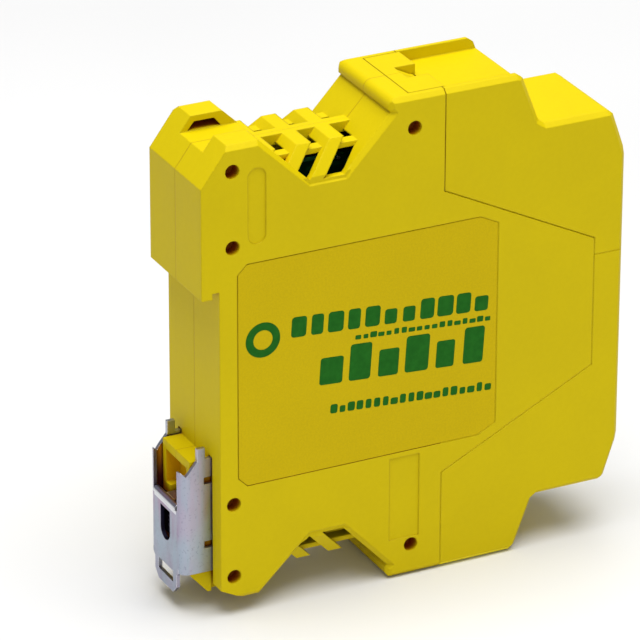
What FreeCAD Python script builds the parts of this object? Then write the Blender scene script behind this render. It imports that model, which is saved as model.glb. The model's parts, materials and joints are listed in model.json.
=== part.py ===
import FreeCAD, Part
import math
import os
import re
import Sketcher
from FreeCAD import Placement, Rotation, Vector

# Rail-mounted fibre media converter, 22.5 mm module.
# X runs across the module, the rail side is at +Y, the connector face at -Y, and Z is up.
# The origin is at mid-width, level with the middle of the rail, on the plane that the
# rail's flanges bear on.  "Depth" is measured from that plane toward the connector face.

DIMENSIONS = [
    # overall outline, seen from the side
    ("module_width", 22.5, "width across the module"),
    ("wall", 1.8, "side wall"),
    ("skin", 2.0, "top, bottom, back and front skin"),
    ("edge_bevel", 0.9, "bevel along the outline of each side face"),
    ("joint_gap", 0.15, "open line between neighbouring mouldings"),
    ("front_depth", 86.2, "connector face"),
    ("front_half_height", 30.5, "half height of the connector face"),
    ("step_depth", 83.2, "front end of the step"),
    ("step_half_height", 39.3, "step, from the rail's middle"),
    ("riser_foot_depth", 67.6, "foot of the riser over the step"),
    ("riser_top_depth", 63.4, "top of the riser"),
    ("crown_half_height", 50.3, "highest and lowest flats"),
    ("bar_depth", 35.4, "back of the rounded bar that ends the crown"),
    ("bar_round", 1.7, "rounding of that bar"),
    ("slope_top_depth", 35.9, "upper end of the valley's front slope"),
    ("slope_top_height", 47.5, "upper end of the valley's front slope"),
    ("valley_front_depth", 26.1, "front end of the valley floor"),
    ("valley_back_depth", 19.1, "back end of the valley floor"),
    ("valley_half_height", 37.0, "valley floor"),
    ("heel_front_depth", 8.4, "front end of the heel's flat"),
    ("heel_half_height", 47.2, "heel's flat"),
    ("heel_chamfer_depth", 2.0, "back end of the heel's flat, upper"),
    ("heel_lower_depth", 5.0, "back end of the heel's flat, lower"),
    ("back_overhang", 3.64, "upper back face, behind the rail seat"),
    ("back_chamfer_foot", 39.6, "foot of the upper back chamfer"),
    ("lower_back_foot", 44.6, "foot of the lower back face"),
    # rail hook
    ("rail_half_height", 17.5, "half of the 35 mm rail"),
    ("rail_flange", 1.0, "thickness of the rail's flange"),
    ("hook_gap", 1.4, "depth of the hook's groove"),
    ("hook_tip_height", 17.0, "lower edge of the hook"),
    ("hook_root_height", 18.2, "top of the hook's groove"),
    # seam between the shells and the front covers
    ("seam_depth", 47.0, "upright part of the seam"),
    ("seam_corner_height", 29.6, "end of the upright part"),
    ("tongue_depth", 79.7, "front end of the shells' tongue"),
    ("tongue_half_height", 13.4, "half height of that end"),
    ("split_height", 10.0, "line between upper and lower cover"),
    ("cover_lap_depth", 40.0, "back end of each cover's lap"),
    ("lap_half_width", 9.3, "half width of the lap"),
    ("lap_thickness", 1.9, "thickness of the lap"),
    ("lap_web", 0.7, "web that joins the lap to the cover"),
    ("tread_drop", 2.3, "sunk panel between the cover's rims"),
    ("tread_half_width", 9.5, "half width of the sunk panel"),
    ("rim_round", 1.5, "rounding of the rims' front ends"),
    ("catch_half_width", 2.7, "catch window, half width"),
    ("catch_back_depth", 43.3, "catch window, back"),
    ("catch_front_depth", 47.75, "catch window, open at the front"),
    # notch and windows in the upper heel
    ("notch_half_width", 5.0, "half width of the heel's notch"),
    ("notch_floor", 44.2, "floor of the heel's notch"),
    ("window_back_depth", 1.3, "towers' window, foot at the back"),
    ("window_front_depth", 8.2, "towers' window, foot at the front"),
    ("window_slant", 1.4, "slant of the window's ends"),
    ("window_height", 1.7, "height of the window"),
    ("window_sunk", 3.6, "depth of the window into the tower"),
    # ventilation grille in the valleys
    ("grille_half_width", 7.6, "half width of the grille's flat top"),
    ("grille_foot_half", 10.9, "half width at the grille's foot"),
    ("grille_foot_height", 37.7, "top of the grille's upright foot"),
    ("grille_top", 43.3, "top of the grille"),
    ("grille_back_depth", 10.5, "back end of the grille"),
    ("grille_front_depth", 32.2, "front end of the grille"),
    ("blade_pitch", 6.8, "pitch of the grille's blades"),
    ("first_gap_depth", 13.4, "back edge of the first opening"),
    ("first_gap_width", 4.4, "first opening, along the depth"),
    ("blade_width", 2.95, "blade, along the depth"),
    ("grille_plate", 1.6, "thickness of the grille's top"),
    ("grille_wall", 1.6, "thickness of its leaning side walls, across"),
    ("spine_half_width", 1.4, "half width of the middle rib"),
    ("spine_height", 2.1, "height of the middle rib"),
    ("ledge_inner", 5.0, "inner edge of the side rib"),
    ("ledge_outer", 7.4, "outer edge of the side rib"),
    ("ledge_drop", 1.5, "side rib below the grille's top"),
    ("ledge_height", 1.0, "height of the side rib"),
    # holes and sunk panels in the side faces
    ("pin_hole", 2.9, "diameter of the assembly holes"),
    ("pin_hole_depth", 2.95, "depth of the assembly holes"),
    ("boss_half", 2.2, "half width of the square bosses behind the assembly holes"),
    ("boss_length", 1.75, "bosses, inside the side wall"),
    ("hole_back_depth", 2.8, "back holes"),
    ("hole_outer_height", 42.1, "outer back holes"),
    ("hole_inner_height", 26.7, "inner back holes"),
    ("hole_front_depth", 40.6, "front holes"),
    ("hole_front_height", 43.8, "front holes"),
    ("label_back", 3.7, "label, back edge"),
    ("label_front", 58.8, "label, front edge"),
    ("label_top", 22.9, "label, top edge"),
    ("label_bottom", 23.4, "label, bottom edge below the middle"),
    ("label_corner", 2.0, "label, back corners"),
    ("label_cut", 4.0, "label, clipped front corners"),
    ("label_sunk", 0.3, "depth of the label's panel"),
    ("label_thickness", 0.25, "printed sheet"),
    ("mark_depth", 0.25, "depth of the two sunken panels"),
    ("eye_panel_depth", 7.85, "rounded panel, its middle"),
    ("eye_panel_half", 1.85, "rounded panel, half width"),
    ("eye_panel_foot", 26.6, "rounded panel, lower end"),
    ("eye_panel_top", 42.0, "rounded panel, upper end"),
    ("plain_panel_back", 35.9, "oblong panel, back edge"),
    ("plain_panel_front", 42.3, "oblong panel, front edge"),
    ("plain_panel_top", 24.4, "oblong panel, upper edge below the middle"),
    ("plain_panel_foot", 42.1, "oblong panel, lower edge below the middle"),
    # guide post of the foot latch
    ("post_half_width", 6.0, "half width of the guide post"),
    ("post_depth", 4.0, "post, behind the rail seat"),
    ("post_top", 18.6, "top of the post, below the middle"),
    ("post_foot", 42.9, "foot of the post's back face"),
    ("post_toe", 47.0, "lowest point of the post's foot"),
    ("pocket_half_width", 4.6, "pocket in the post"),
    ("pocket_top", 20.4, "top of that pocket"),
    ("pocket_bottom", 27.4, "bottom of that pocket"),
    ("pocket_depth", 3.0, "depth of that pocket"),
    ("chamber_half_width", 2.8, "spring chamber"),
    ("chamber_depth", 3.9, "depth of the spring chamber"),
    ("chamber_floor", 38.0, "floor of the spring chamber"),
    ("guide_outer", 7.6, "outer side of the latch guides"),
    ("guide_inner", 4.8, "inner side of the latch guides"),
    ("guide_depth", 2.1, "depth of the latch guides"),
    ("guide_lip", 0.4, "lip that holds the latch's flanges"),
    ("guide_top", 17.7, "top of the latch guides"),
    # foot latch, one piece of folded steel sheet
    ("sheet", 0.8, "thickness of the steel sheet"),
    ("latch_half_width", 7.1, "latch, half width outside"),
    ("latch_back", 6.4, "back of the latch"),
    ("latch_flange_end", 5.2, "inner edge of the turned-in flanges"),
    ("latch_flange_depth", 1.65, "front of the turned-in flanges"),
    ("latch_bottom", 42.0, "lower edge of the cheeks"),
    ("latch_hook_top", 15.6, "top of the hooks behind the rail"),
    ("latch_hook_back", 2.9, "back of the hooks"),
    ("latch_hook_front", 1.25, "front of the hooks"),
    ("latch_shoulder", 17.9, "shoulder under the rail's edge"),
    ("latch_side_top", 20.3, "top of the narrow back strips"),
    ("latch_side_depth", 6.0, "front edge of that top"),
    ("latch_throat_depth", 5.2, "foot of the hooks' sloping back"),
    ("latch_throat", 21.1, "foot of the hooks' sloping back"),
    ("latch_hook_foot", 18.3, "top of the hooks' sloping back"),
    ("latch_bend", 2.0, "outer bend radius"),
    ("lip_height", 28.9, "lower edge of the latch's mouth"),
    ("lip_radius", 0.75, "rolled lip"),
    ("lip_depth", 5.95, "axis of the rolled lip"),
    ("lip_half_width", 4.8, "rolled lip, half width"),
    ("finger_half_width", 1.8, "finger that bears on the spring"),
    ("finger_depth", 0.6, "end of that finger"),
    ("tab_half_width", 4.8, "pull tab, half width"),
    ("tab_bottom", 47.0, "lower edge of the pull tab"),
    ("tab_corner", 1.6, "clipped corners of the tab"),
    ("tab_slot_half", 3.3, "screwdriver slot, half width"),
    ("tab_slot_top", 42.4, "screwdriver slot, top"),
    ("tab_slot_bottom", 44.8, "screwdriver slot, bottom"),
    ("eye_half_width", 2.1, "long eye, half width"),
    ("eye_top", 30.4, "long eye, flat top"),
    ("eye_bottom", 37.1, "long eye, bottom"),
    ("cheek_notch", 1.5, "small notches in the cheeks"),
    ("cheek_notch_upper", 22.6, "upper notch"),
    ("cheek_notch_lower", 36.2, "lower notch"),
    # latch spring
    ("spring_radius", 2.1, "mean radius of the coil"),
    ("spring_wire", 0.7, "wire diameter"),
    ("spring_turns", 8.0, "turns"),
    ("spring_depth", 2.95, "axis behind the rail seat"),
    ("coil_corners", 12, "corners of one turn"),
    ("wire_corners", 6, "corners of the wire's section"),
    # circuit board
    ("board_face", 6.0, "component side of the board"),
    ("board_thickness", 1.6, "board"),
    ("board_back", 7.0, "board, back edge"),
    ("board_front", 82.4, "board, front edge"),
    ("board_half_height", 33.0, "board, half height"),
    ("board_clip", 3.0, "clipped corners of the board"),
    ("stud_radius", 2.4, "board studs on the right shell"),
    ("stud_pin", 1.2, "pins on the studs"),
    ("stud_back_depth", 12.0, "back studs"),
    ("stud_front_depth", 44.0, "front studs"),
    ("stud_height", 28.0, "studs above and below the middle"),
    # network jack
    ("jack_low", 12.4, "jack, lower side"),
    ("jack_height", 16.0, "jack, along the height"),
    ("jack_rise", 13.2, "jack, above the board"),
    ("jack_length", 21.6, "jack, along the depth"),
    ("jack_front", 86.6, "jack, front face"),
    ("jack_sheet", 0.4, "jack, metal shell"),
    ("port_height", 11.9, "plug opening, along the height"),
    ("port_rise", 8.3, "plug opening, across"),
    ("port_depth", 13.0, "plug opening, deep"),
    ("port_key", 4.0, "latch way of the plug opening"),
    ("port_key_rise", 1.9, "latch way, across"),
    ("contact_count", 8, "contacts of the jack"),
    ("contact_pitch", 1.27, "pitch of those contacts"),
    ("contact_wire", 0.45, "contact wire"),
    ("contact_lift", 1.6, "contacts, above the opening's floor"),
    ("contact_sunk", 4.0, "contacts, behind the jack's front"),
    # fibre transceiver
    ("optic_low", -17.0, "transceiver, lower side"),
    ("optic_height", 25.4, "transceiver, along the height"),
    ("optic_rise", 9.9, "transceiver, above the board"),
    ("optic_front", 86.6, "transceiver, front face"),
    ("optic_length", 39.0, "transceiver, along the depth"),
    ("optic_pitch", 12.7, "pitch of its two ports"),
    ("optic_port_height", 9.3, "port, along the height"),
    ("optic_port_rise", 7.6, "port, across"),
    ("optic_port_depth", 15.0, "port, deep"),
    ("sleeve_radius", 2.0, "split sleeve, outside"),
    ("sleeve_bore", 1.25, "split sleeve, bore"),
    ("sleeve_length", 9.0, "split sleeve, length"),
    # power plug and its header
    ("pole_count", 3, "poles"),
    ("pole_pitch", 3.5, "pitch of the poles"),
    ("plug_middle", -24.6, "middle of the plug"),
    ("plug_height", 11.4, "plug, along the height"),
    ("plug_back", 71.5, "plug, inner end"),
    ("plug_front", 87.6, "plug, wire face"),
    ("plug_low", -4.6, "plug, outer side"),
    ("plug_high", 4.6, "plug, board side"),
    ("wire_width", 2.5, "wire opening, along the height"),
    ("wire_rise", 2.9, "wire opening, across"),
    ("wire_middle", 1.9, "wire opening, middle"),
    ("wire_depth", 9.0, "wire opening, deep"),
    ("header_length", 4.0, "header behind the plug"),
    ("pin_half", 0.4, "header's pins, half width"),
    ("pin_way", 0.6, "ways for those pins, half width"),
    ("pin_length", 5.0, "pins, into the plug"),
    ("screw_middle", -2.0, "screw axis"),
    ("screw_head_radius", 1.35, "screw head"),
    ("screw_head_length", 1.6, "screw head"),
    ("screw_shank_radius", 0.9, "screw shank"),
    ("screw_length", 9.0, "screw, head and shank"),
    ("screw_sunk", 0.8, "head below the wire face"),
    ("screw_slot", 0.5, "screwdriver slot"),
    ("screw_slot_depth", 0.7, "depth of that slot"),
    ("screw_well_radius", 1.55, "well round the screw"),
    ("running_fit", 0.05, "clearance round the pieces that move"),
    ("clamp_way_lap", 0.2, "clamp's way, into the screw's well"),
    ("clamp_rise", 0.7, "clamp block, across"),
    ("clamp_length", 3.6, "clamp block, along the depth"),
    ("clamp_depth", 81.0, "clamp block, inner end"),
    # parts on the board: rise above it, ends along the depth, ends along the height
    ("lan_magnetics_rise", 5.8, "network transformer"),
    ("lan_magnetics_back", 47.0, "network transformer"),
    ("lan_magnetics_front", 60.0, "network transformer"),
    ("lan_magnetics_low", 13.0, "network transformer"),
    ("lan_magnetics_high", 27.0, "network transformer"),
    ("switch_chip_rise", 1.4, "converter chip"),
    ("switch_chip_back", 24.0, "converter chip"),
    ("switch_chip_front", 36.0, "converter chip"),
    ("switch_chip_low", -4.0, "converter chip"),
    ("switch_chip_high", 8.0, "converter chip"),
    ("flash_chip_rise", 1.6, "memory chip"),
    ("flash_chip_back", 24.0, "memory chip"),
    ("flash_chip_front", 29.0, "memory chip"),
    ("flash_chip_low", 13.0, "memory chip"),
    ("flash_chip_high", 18.0, "memory chip"),
    ("power_inductor_rise", 4.0, "inductor's core"),
    ("power_inductor_back", 47.0, "inductor"),
    ("power_inductor_front", 57.0, "inductor"),
    ("power_inductor_low", -31.0, "inductor"),
    ("power_inductor_high", -21.0, "inductor"),
    ("inductor_window", 4.2, "inductor's round drum"),
    ("coil_show", 0.8, "drum above the core"),
    ("regulator_chip_rise", 1.6, "regulator chip"),
    ("regulator_chip_back", 35.5, "regulator chip"),
    ("regulator_chip_front", 41.5, "regulator chip"),
    ("regulator_chip_low", -24.0, "regulator chip"),
    ("regulator_chip_high", -18.0, "regulator chip"),
    ("crystal_rise", 3.4, "crystal can"),
    ("crystal_back", 39.0, "crystal can"),
    ("crystal_front", 43.5, "crystal can"),
    ("crystal_low", 3.0, "crystal can"),
    ("crystal_high", 14.0, "crystal can"),
    ("lead_reach", 1.0, "chip leads, beyond the package"),
    ("lead_rise", 0.7, "chip leads, above the board"),
    ("lead_half", 0.22, "chip leads, half width"),
    ("capacitor_radius", 4.0, "electrolytic capacitors"),
    ("capacitor_rise", 10.0, "electrolytic capacitors"),
    ("capacitor_back", 17.0, "rear capacitor's axis"),
    ("capacitor_front", 29.0, "front capacitor's axis"),
    ("capacitor_height", -25.0, "axis of both"),
    ("chip_back", 15.0, "first column of ceramic capacitors"),
    ("switch_chip_leads", 8, "leads on each side"),
    ("flash_chip_leads", 4, "leads on each side"),
    ("regulator_chip_leads", 3, "leads on each side"),
    ("chip_low", -10.0, "lowest ceramic capacitors"),
    ("chip_step", 3.2, "pitch of the columns"),
    ("chip_rise_step", 5.0, "pitch of the rows"),
    ("chip_columns", 2, "columns of ceramic capacitors"),
    ("chip_rows", 5, "rows of ceramic capacitors"),
    ("chip_rise", 0.9, "ceramic capacitors, above the board"),
    ("chip_length", 2.0, "ceramic capacitors, length"),
    ("chip_width", 1.25, "ceramic capacitors, width"),
    # status lights
    ("lamp_across", -7.2, "status lights, across"),
    ("lamp_top", 5.5, "highest status light"),
    ("lamp_pitch", 4.6, "pitch of the status lights"),
    ("lamp_count", 4, "status lights"),
    ("lamp_half", 0.9, "half width of a lamp"),
    ("strip_front", 79.4, "front of the lamps' strip"),
    ("pipe_back", 81.0, "light pipes, inner end"),
    ("pipe_radius", 1.0, "light pipes"),
    ("pipe_proud", 0.3, "light pipes, beyond the front face"),
    # small lamps in the network jack
    ("jack_lamp_wide", 2.4, "jack's lamps, along the height"),
    ("jack_lamp_rise", 1.5, "jack's lamps, across"),
    ("jack_lamp_sunk", 0.6, "jack's lamps, into the jack"),
    ("jack_lamp_inset", 1.4, "jack's lamps, from its sides"),
    ("key_notch", 2.4, "key way of a fibre port, along the height"),
    ("key_notch_rise", 0.6, "key way of a fibre port, across"),
]
ALIASES = {row[0] for row in DIMENSIONS}

doc = FreeCAD.newDocument("media_converter")
sheet = doc.addObject("Spreadsheet::Sheet", "Dims")
for row, (alias, number, meaning) in enumerate(DIMENSIONS, start=1):
    sheet.set("A%d" % row, alias)
    sheet.set("B%d" % row, str(number))
    sheet.set("C%d" % row, meaning)
    sheet.setAlias("B%d" % row, alias)
doc.recompute()


def bound(text):
    """An expression on the sheet's aliases, as FreeCAD wants it."""
    return re.sub(r"[a-z][a-z_]+", lambda m: "Dims." + m.group() if m.group() in ALIASES else m.group(), text)


def number(text):
    return float(sheet.evalExpression(bound(text)))


SIDE, FRONT, PLAN = "YZ_Plane", "XZ_Plane", "XY_Plane"
nodes = []


# ---------------------------------------------------------------- sketches and features
def new_body(name):
    body = doc.addObject("PartDesign::Body", name)
    body.Label = name
    nodes.append(body)
    return body


def new_sketch(body, plane, offset="0"):
    sketch = body.newObject("Sketcher::SketchObject", body.Name + "_sketch")
    support = [f for f in body.Origin.OriginFeatures if f.Role == plane][0]
    sketch.AttachmentSupport = [(support, "")]
    sketch.MapMode = "FlatFace"
    sketch.setExpression("AttachmentOffset.Base.z", bound(offset))
    return sketch


def local(plane, point):
    """Depth runs against Y, so it turns its sign on the side and plan sketches."""
    first, second = point
    if plane == SIDE:
        return "-(%s)" % first, second
    if plane == PLAN:
        return first, "-(%s)" % second
    return first, second


def pin_down(sketch, edge, end, across, up):
    """Hold one sketch point at two bound distances from the origin."""
    for kind, text in (("DistanceX", across), ("DistanceY", up)):
        index = sketch.addConstraint(Sketcher.Constraint(kind, -1, 1, edge, end, number(text)))
        sketch.setExpression("Constraints[%d]" % index, bound(text))


def polygon(body, plane, points, offset="0"):
    """Closed outline through bound points: (depth, height), (across, height) or (across, depth)."""
    sketch = new_sketch(body, plane, offset)
    places = [local(plane, p) for p in points]
    corners = [Vector(number(a), number(b), 0) for a, b in places]
    count = len(corners)
    for i in range(count):
        sketch.addGeometry(Part.LineSegment(corners[i], corners[(i + 1) % count]), False)
    for i in range(count):
        sketch.addConstraint(Sketcher.Constraint("Coincident", i, 2, (i + 1) % count, 1))
    for i, (a, b) in enumerate(places):
        pin_down(sketch, i, 1, a, b)
    return sketch


def rectangle(body, plane, a0, a1, b0, b1, offset="0"):
    return polygon(body, plane, [(a0, b0), (a1, b0), (a1, b1), (a0, b1)], offset)


def circles(body, plane, centres, radius, offset="0"):
    sketch = new_sketch(body, plane, offset)
    for i, centre in enumerate(centres):
        a, b = local(plane, centre)
        middle = Vector(number(a), number(b), 0)
        sketch.addGeometry(Part.Circle(middle, Vector(0, 0, 1), number(radius)), False)
        pin_down(sketch, i, 3, a, b)
        index = sketch.addConstraint(Sketcher.Constraint("Radius", i, number(radius)))
        sketch.setExpression("Constraints[%d]" % index, bound(radius))
    return sketch


def upright_eye(body, plane, middle, low, high, radius, offset="0"):
    """Long hole with round ends, standing upright on a front or side sketch."""
    sketch = new_sketch(body, plane, offset)
    ends = [local(plane, (middle, text % span)) for text, span in
            (("%s + %s", (low, radius)), ("%s - %s", (high, radius)))]
    lower, upper = [Vector(number(a), number(b), 0) for a, b in ends]
    r = number(radius)
    axis, reach = Vector(0, 0, 1), Vector(r, 0, 0)
    sketch.addGeometry(Part.ArcOfCircle(Part.Circle(lower, axis, r), math.pi, 2 * math.pi), False)
    sketch.addGeometry(Part.LineSegment(lower + reach, upper + reach), False)
    sketch.addGeometry(Part.ArcOfCircle(Part.Circle(upper, axis, r), 0, math.pi), False)
    sketch.addGeometry(Part.LineSegment(upper - reach, lower - reach), False)
    for edge, end, other, start in ((0, 2, 1, 1), (1, 2, 2, 1), (2, 2, 3, 1), (3, 2, 0, 1)):
        sketch.addConstraint(Sketcher.Constraint("Tangent", edge, end, other, start))
    for arc, (a, b) in zip((0, 2), ends):
        pin_down(sketch, arc, 3, a, b)
    index = sketch.addConstraint(Sketcher.Constraint("Radius", 0, r))
    sketch.setExpression("Constraints[%d]" % index, bound(radius))
    return sketch


def pad(body, sketch, length, forward=True, middle=False):
    feature = body.newObject("PartDesign::Pad", body.Name + "_pad")
    feature.Profile = sketch
    feature.setExpression("Length", bound(length))
    feature.Reversed = not forward
    feature.Midplane = middle
    return feature


def pocket(body, sketch, length, forward=True, middle=False):
    feature = body.newObject("PartDesign::Pocket", body.Name + "_pocket")
    feature.Profile = sketch
    feature.setExpression("Length", bound(length))
    feature.Reversed = forward
    feature.Midplane = middle
    return feature


def edges_where(feature, test):
    doc.recompute()
    return ["Edge%d" % (i + 1) for i, edge in enumerate(feature.Shape.Edges) if test(edge)]


def chamfer(body, feature, size, test):
    result = body.newObject("PartDesign::Chamfer", body.Name + "_chamfer")
    result.Base = (feature, edges_where(feature, test))
    result.setExpression("Size", bound(size))
    return result


def fillet(body, feature, radius, test):
    result = body.newObject("PartDesign::Fillet", body.Name + "_fillet")
    result.Base = (feature, edges_where(feature, test))
    result.setExpression("Radius", bound(radius))
    return result


def lies_along(edge, axis):
    """True for an edge parallel to a unit axis."""
    ends = [v.Point for v in edge.Vertexes]
    if len(ends) < 2:
        return False
    run = ends[1] - ends[0]
    return run.Length > 0 and abs(abs(run.dot(axis)) / run.Length - 1) < 1e-6


# ---------------------------------------------------------------- primitives bound to the sheet
def box(name, across, depth, height, keep=True):
    """A block from three (low, high) pairs; depth runs toward -Y."""
    block = doc.addObject("Part::Box", name)
    for size, (low, high) in zip(("Length", "Width", "Height"), (across, depth, height)):
        block.setExpression(size, bound("(%s) - (%s)" % (high, low)))
    for axis, low in zip("xyz", (across[0], "-(%s)" % depth[1], height[0])):
        block.setExpression("Placement.Base." + axis, bound(low))
    return keep_node(block, name) if keep else block


TURNS = {"x": Rotation(Vector(0, 1, 0), 90), "depth": Rotation(Vector(1, 0, 0), 90), "z": Rotation()}


def cylinder(name, along, radius, length, centre, keep=True):
    """A cylinder from centre toward +X, toward the connector face, or up."""
    rod = doc.addObject("Part::Cylinder", name)
    rod.Placement = Placement(Vector(), TURNS[along])
    rod.setExpression("Radius", bound(radius))
    rod.setExpression("Height", bound(length))
    across, depth, height = centre
    for axis, text in zip("xyz", (across, "-(%s)" % depth, height)):
        rod.setExpression("Placement.Base." + axis, bound(text))
    return keep_node(rod, name) if keep else rod


def keep_node(thing, label):
    thing.Label = label
    nodes.append(thing)
    return thing


def fuse(label, pieces, keep=True):
    result = doc.addObject("Part::MultiFuse", label)
    result.Shapes = pieces
    return keep_node(result, label) if keep else result


def cut(label, base, tools, keep=True):
    result = doc.addObject("Part::Cut", label)
    result.Base = base
    result.Tool = tools[0] if len(tools) == 1 else fuse(label + "_tools", tools, keep=False)
    return keep_node(result, label) if keep else result


def group(label, pieces):
    """Several separate solids in one node."""
    result = doc.addObject("Part::Compound", label)
    result.Links = pieces
    return keep_node(result, label)


# an edge counts as lying on a face within this much
CLOSE = 1e-3
HALF = "module_width / 2"
INNER = "module_width / 2 - wall"


# ---------------------------------------------------------------- rear shells
def shell_outline():
    """Outline of the rear shells, clockwise from the upper back edge."""
    upper = [
        ("-back_overhang", "back_chamfer_foot"),
        ("heel_chamfer_depth", "heel_half_height"),
        ("heel_front_depth", "heel_half_height"),
        ("valley_back_depth", "valley_half_height"),
        ("valley_front_depth", "valley_half_height"),
        ("slope_top_depth", "slope_top_height"),
        ("bar_depth", "slope_top_height + slope_top_depth - bar_depth"),
        ("bar_depth", "crown_half_height"),
        ("seam_depth", "crown_half_height"),
        ("seam_depth", "seam_corner_height"),
        ("tongue_depth", "tongue_half_height"),
    ]
    lower = [(d, "-(%s)" % z) for d, z in reversed(upper[2:])]
    back = [
        ("heel_lower_depth", "-heel_half_height"),
        ("0", "-lower_back_foot"),
        ("0", "hook_root_height"),
        ("-hook_gap", "hook_root_height"),
        ("-hook_gap", "hook_tip_height"),
        ("-back_overhang", "hook_tip_height"),
    ]
    return upper + lower + back


def shell_cavity():
    """The hollow behind the skin, open toward the front covers."""
    upper = [
        ("-back_overhang + skin", "hook_root_height + skin"),
        ("-back_overhang + skin", "back_chamfer_foot - skin / 2"),
        ("heel_chamfer_depth - skin / 2", "notch_floor - skin"),
        ("heel_front_depth + skin", "notch_floor - skin"),
        ("valley_back_depth - skin / 2", "valley_half_height - skin"),
        ("valley_front_depth + skin / 2", "valley_half_height - skin"),
        ("slope_top_depth + skin", "crown_half_height - 2 * skin"),
        ("seam_depth + skin", "crown_half_height - 2 * skin"),
        ("seam_depth + skin", "seam_corner_height + skin"),
        ("tongue_depth + skin", "tongue_half_height + skin"),
    ]
    lower = [(d, "-(%s)" % z) for d, z in reversed(upper[3:])]
    back = [
        ("guide_depth + skin", "-(notch_floor - skin)"),
        ("guide_depth + skin", "hook_tip_height - skin"),
    ]
    return upper + lower + back


def add_grille(body, sign, up):
    """Vent in a valley: a thin hood with leaning openings, a middle rib and a side rib, hipped
    toward the side wall and open to the inside."""
    def side(text):
        return "%d * (%s)" % (sign, text)

    def high(text):
        return "%d * (%s)" % (up, text)

    hip = polygon(body, FRONT, [
        ("0", high("valley_half_height - skin")),
        (side("grille_foot_half"), high("valley_half_height - skin")),
        (side("grille_foot_half"), high("grille_foot_height")),
        (side("grille_half_width"), high("grille_top")),
        ("0", high("grille_top")),
    ], "grille_back_depth")
    pad(body, hip, "grille_front_depth - grille_back_depth")
    hip_run = "(grille_foot_half - grille_half_width) / (grille_top - grille_foot_height)"
    under = polygon(body, FRONT, [
        ("0", high("valley_half_height - 1.5 * skin")),
        (side(INNER), high("valley_half_height - 1.5 * skin")),
        (side(INNER), high("valley_half_height")),
        (side("grille_foot_half - grille_wall"), high("grille_foot_height")),
        (side("grille_half_width - grille_wall + grille_plate * " + hip_run),
         high("grille_top - grille_plate")),
        ("0", high("grille_top - grille_plate")),
    ], "grille_back_depth")
    pocket(body, under, "grille_front_depth - grille_back_depth + skin")
    # each opening leans as the valley's front slope does and stops at the back slope or the floor
    lean = "(slope_top_depth - valley_front_depth) / (slope_top_height - valley_half_height)"
    fall = "(valley_back_depth - heel_front_depth) / (heel_half_height - valley_half_height)"
    slope_end = "valley_front_depth + (grille_top - valley_half_height) * " + lean
    gap_end = "first_gap_depth + first_gap_width"
    for start, end in (("first_gap_depth", gap_end),
                       (gap_end + " + blade_width", gap_end + " + blade_pitch"),
                       (gap_end + " + blade_pitch + blade_width", slope_end)):
        corners = [("%s + skin * %s" % (edge, lean), high("grille_top + skin")) for edge in (start, end)]
        for edge in (end, start):
            slope_level = "(heel_front_depth + heel_half_height * %s - (%s) + grille_top * %s)" % (
                fall, edge, lean) + " / (%s + %s)" % (fall, lean)
            level = max("valley_half_height", slope_level, key=number)
            corners.append(("%s - (grille_top - %s) * %s" % (edge, level, lean), high(level)))
        pocket(body, polygon(body, SIDE, corners), HALF + " + skin", forward=sign > 0)
    for inner, outer, top, depth in (
            ("0", "spine_half_width", "grille_top", "spine_height"),
            ("ledge_inner", "ledge_outer", "grille_top - ledge_drop", "ledge_height")):
        rib = polygon(body, FRONT, [
            (side(inner), high(top)), (side(outer), high(top)),
            (side(outer), high("%s - %s" % (top, depth))), (side(inner), high("%s - %s" % (top, depth))),
        ], "first_gap_depth - skin / 2")
        pad(body, rib, "grille_front_depth - first_gap_depth + skin / 2")


def add_post(body, sign):
    """Half of the post that guides the foot latch, with its spring chamber."""
    def side(text):
        return "%d * (%s)" % (sign, text)

    outline = polygon(body, SIDE, [
        ("guide_lip", "-post_top"), ("-post_depth", "-post_top"), ("-post_depth", "-post_foot"),
        ("-guide_lip", "-post_toe"), ("guide_depth", "-post_toe"),
        ("guide_depth + skin / 2", "-lower_back_foot"), ("guide_lip", "-lower_back_foot"),
    ])
    pad(body, outline, "post_half_width", forward=sign > 0)
    # guides: a slot beside the post and an undercut behind its edge
    for inner, lip in (("post_half_width", "-skin"), ("guide_inner", "guide_lip")):
        slot = polygon(body, PLAN, [
            (side(inner), lip), (side("guide_outer"), lip),
            (side("guide_outer"), "guide_depth"), (side(inner), "guide_depth"),
        ], "-guide_top")
        pocket(body, slot, "heel_half_height - guide_top + skin", forward=False)
    hollow = polygon(body, FRONT, [
        ("0", "-pocket_top"), (side("pocket_half_width"), "-pocket_top"),
        (side("pocket_half_width"), "-pocket_bottom"), ("0", "-pocket_bottom"),
    ], "-post_depth")
    pocket(body, hollow, "pocket_depth")
    chamber = polygon(body, FRONT, [
        ("0", "-(pocket_bottom - skin / 2)"), (side("chamber_half_width"), "-(pocket_bottom - skin / 2)"),
        (side("chamber_half_width"), "-chamber_floor"), ("0", "-chamber_floor"),
    ], "-post_depth")
    pocket(body, chamber, "chamber_depth")


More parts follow.
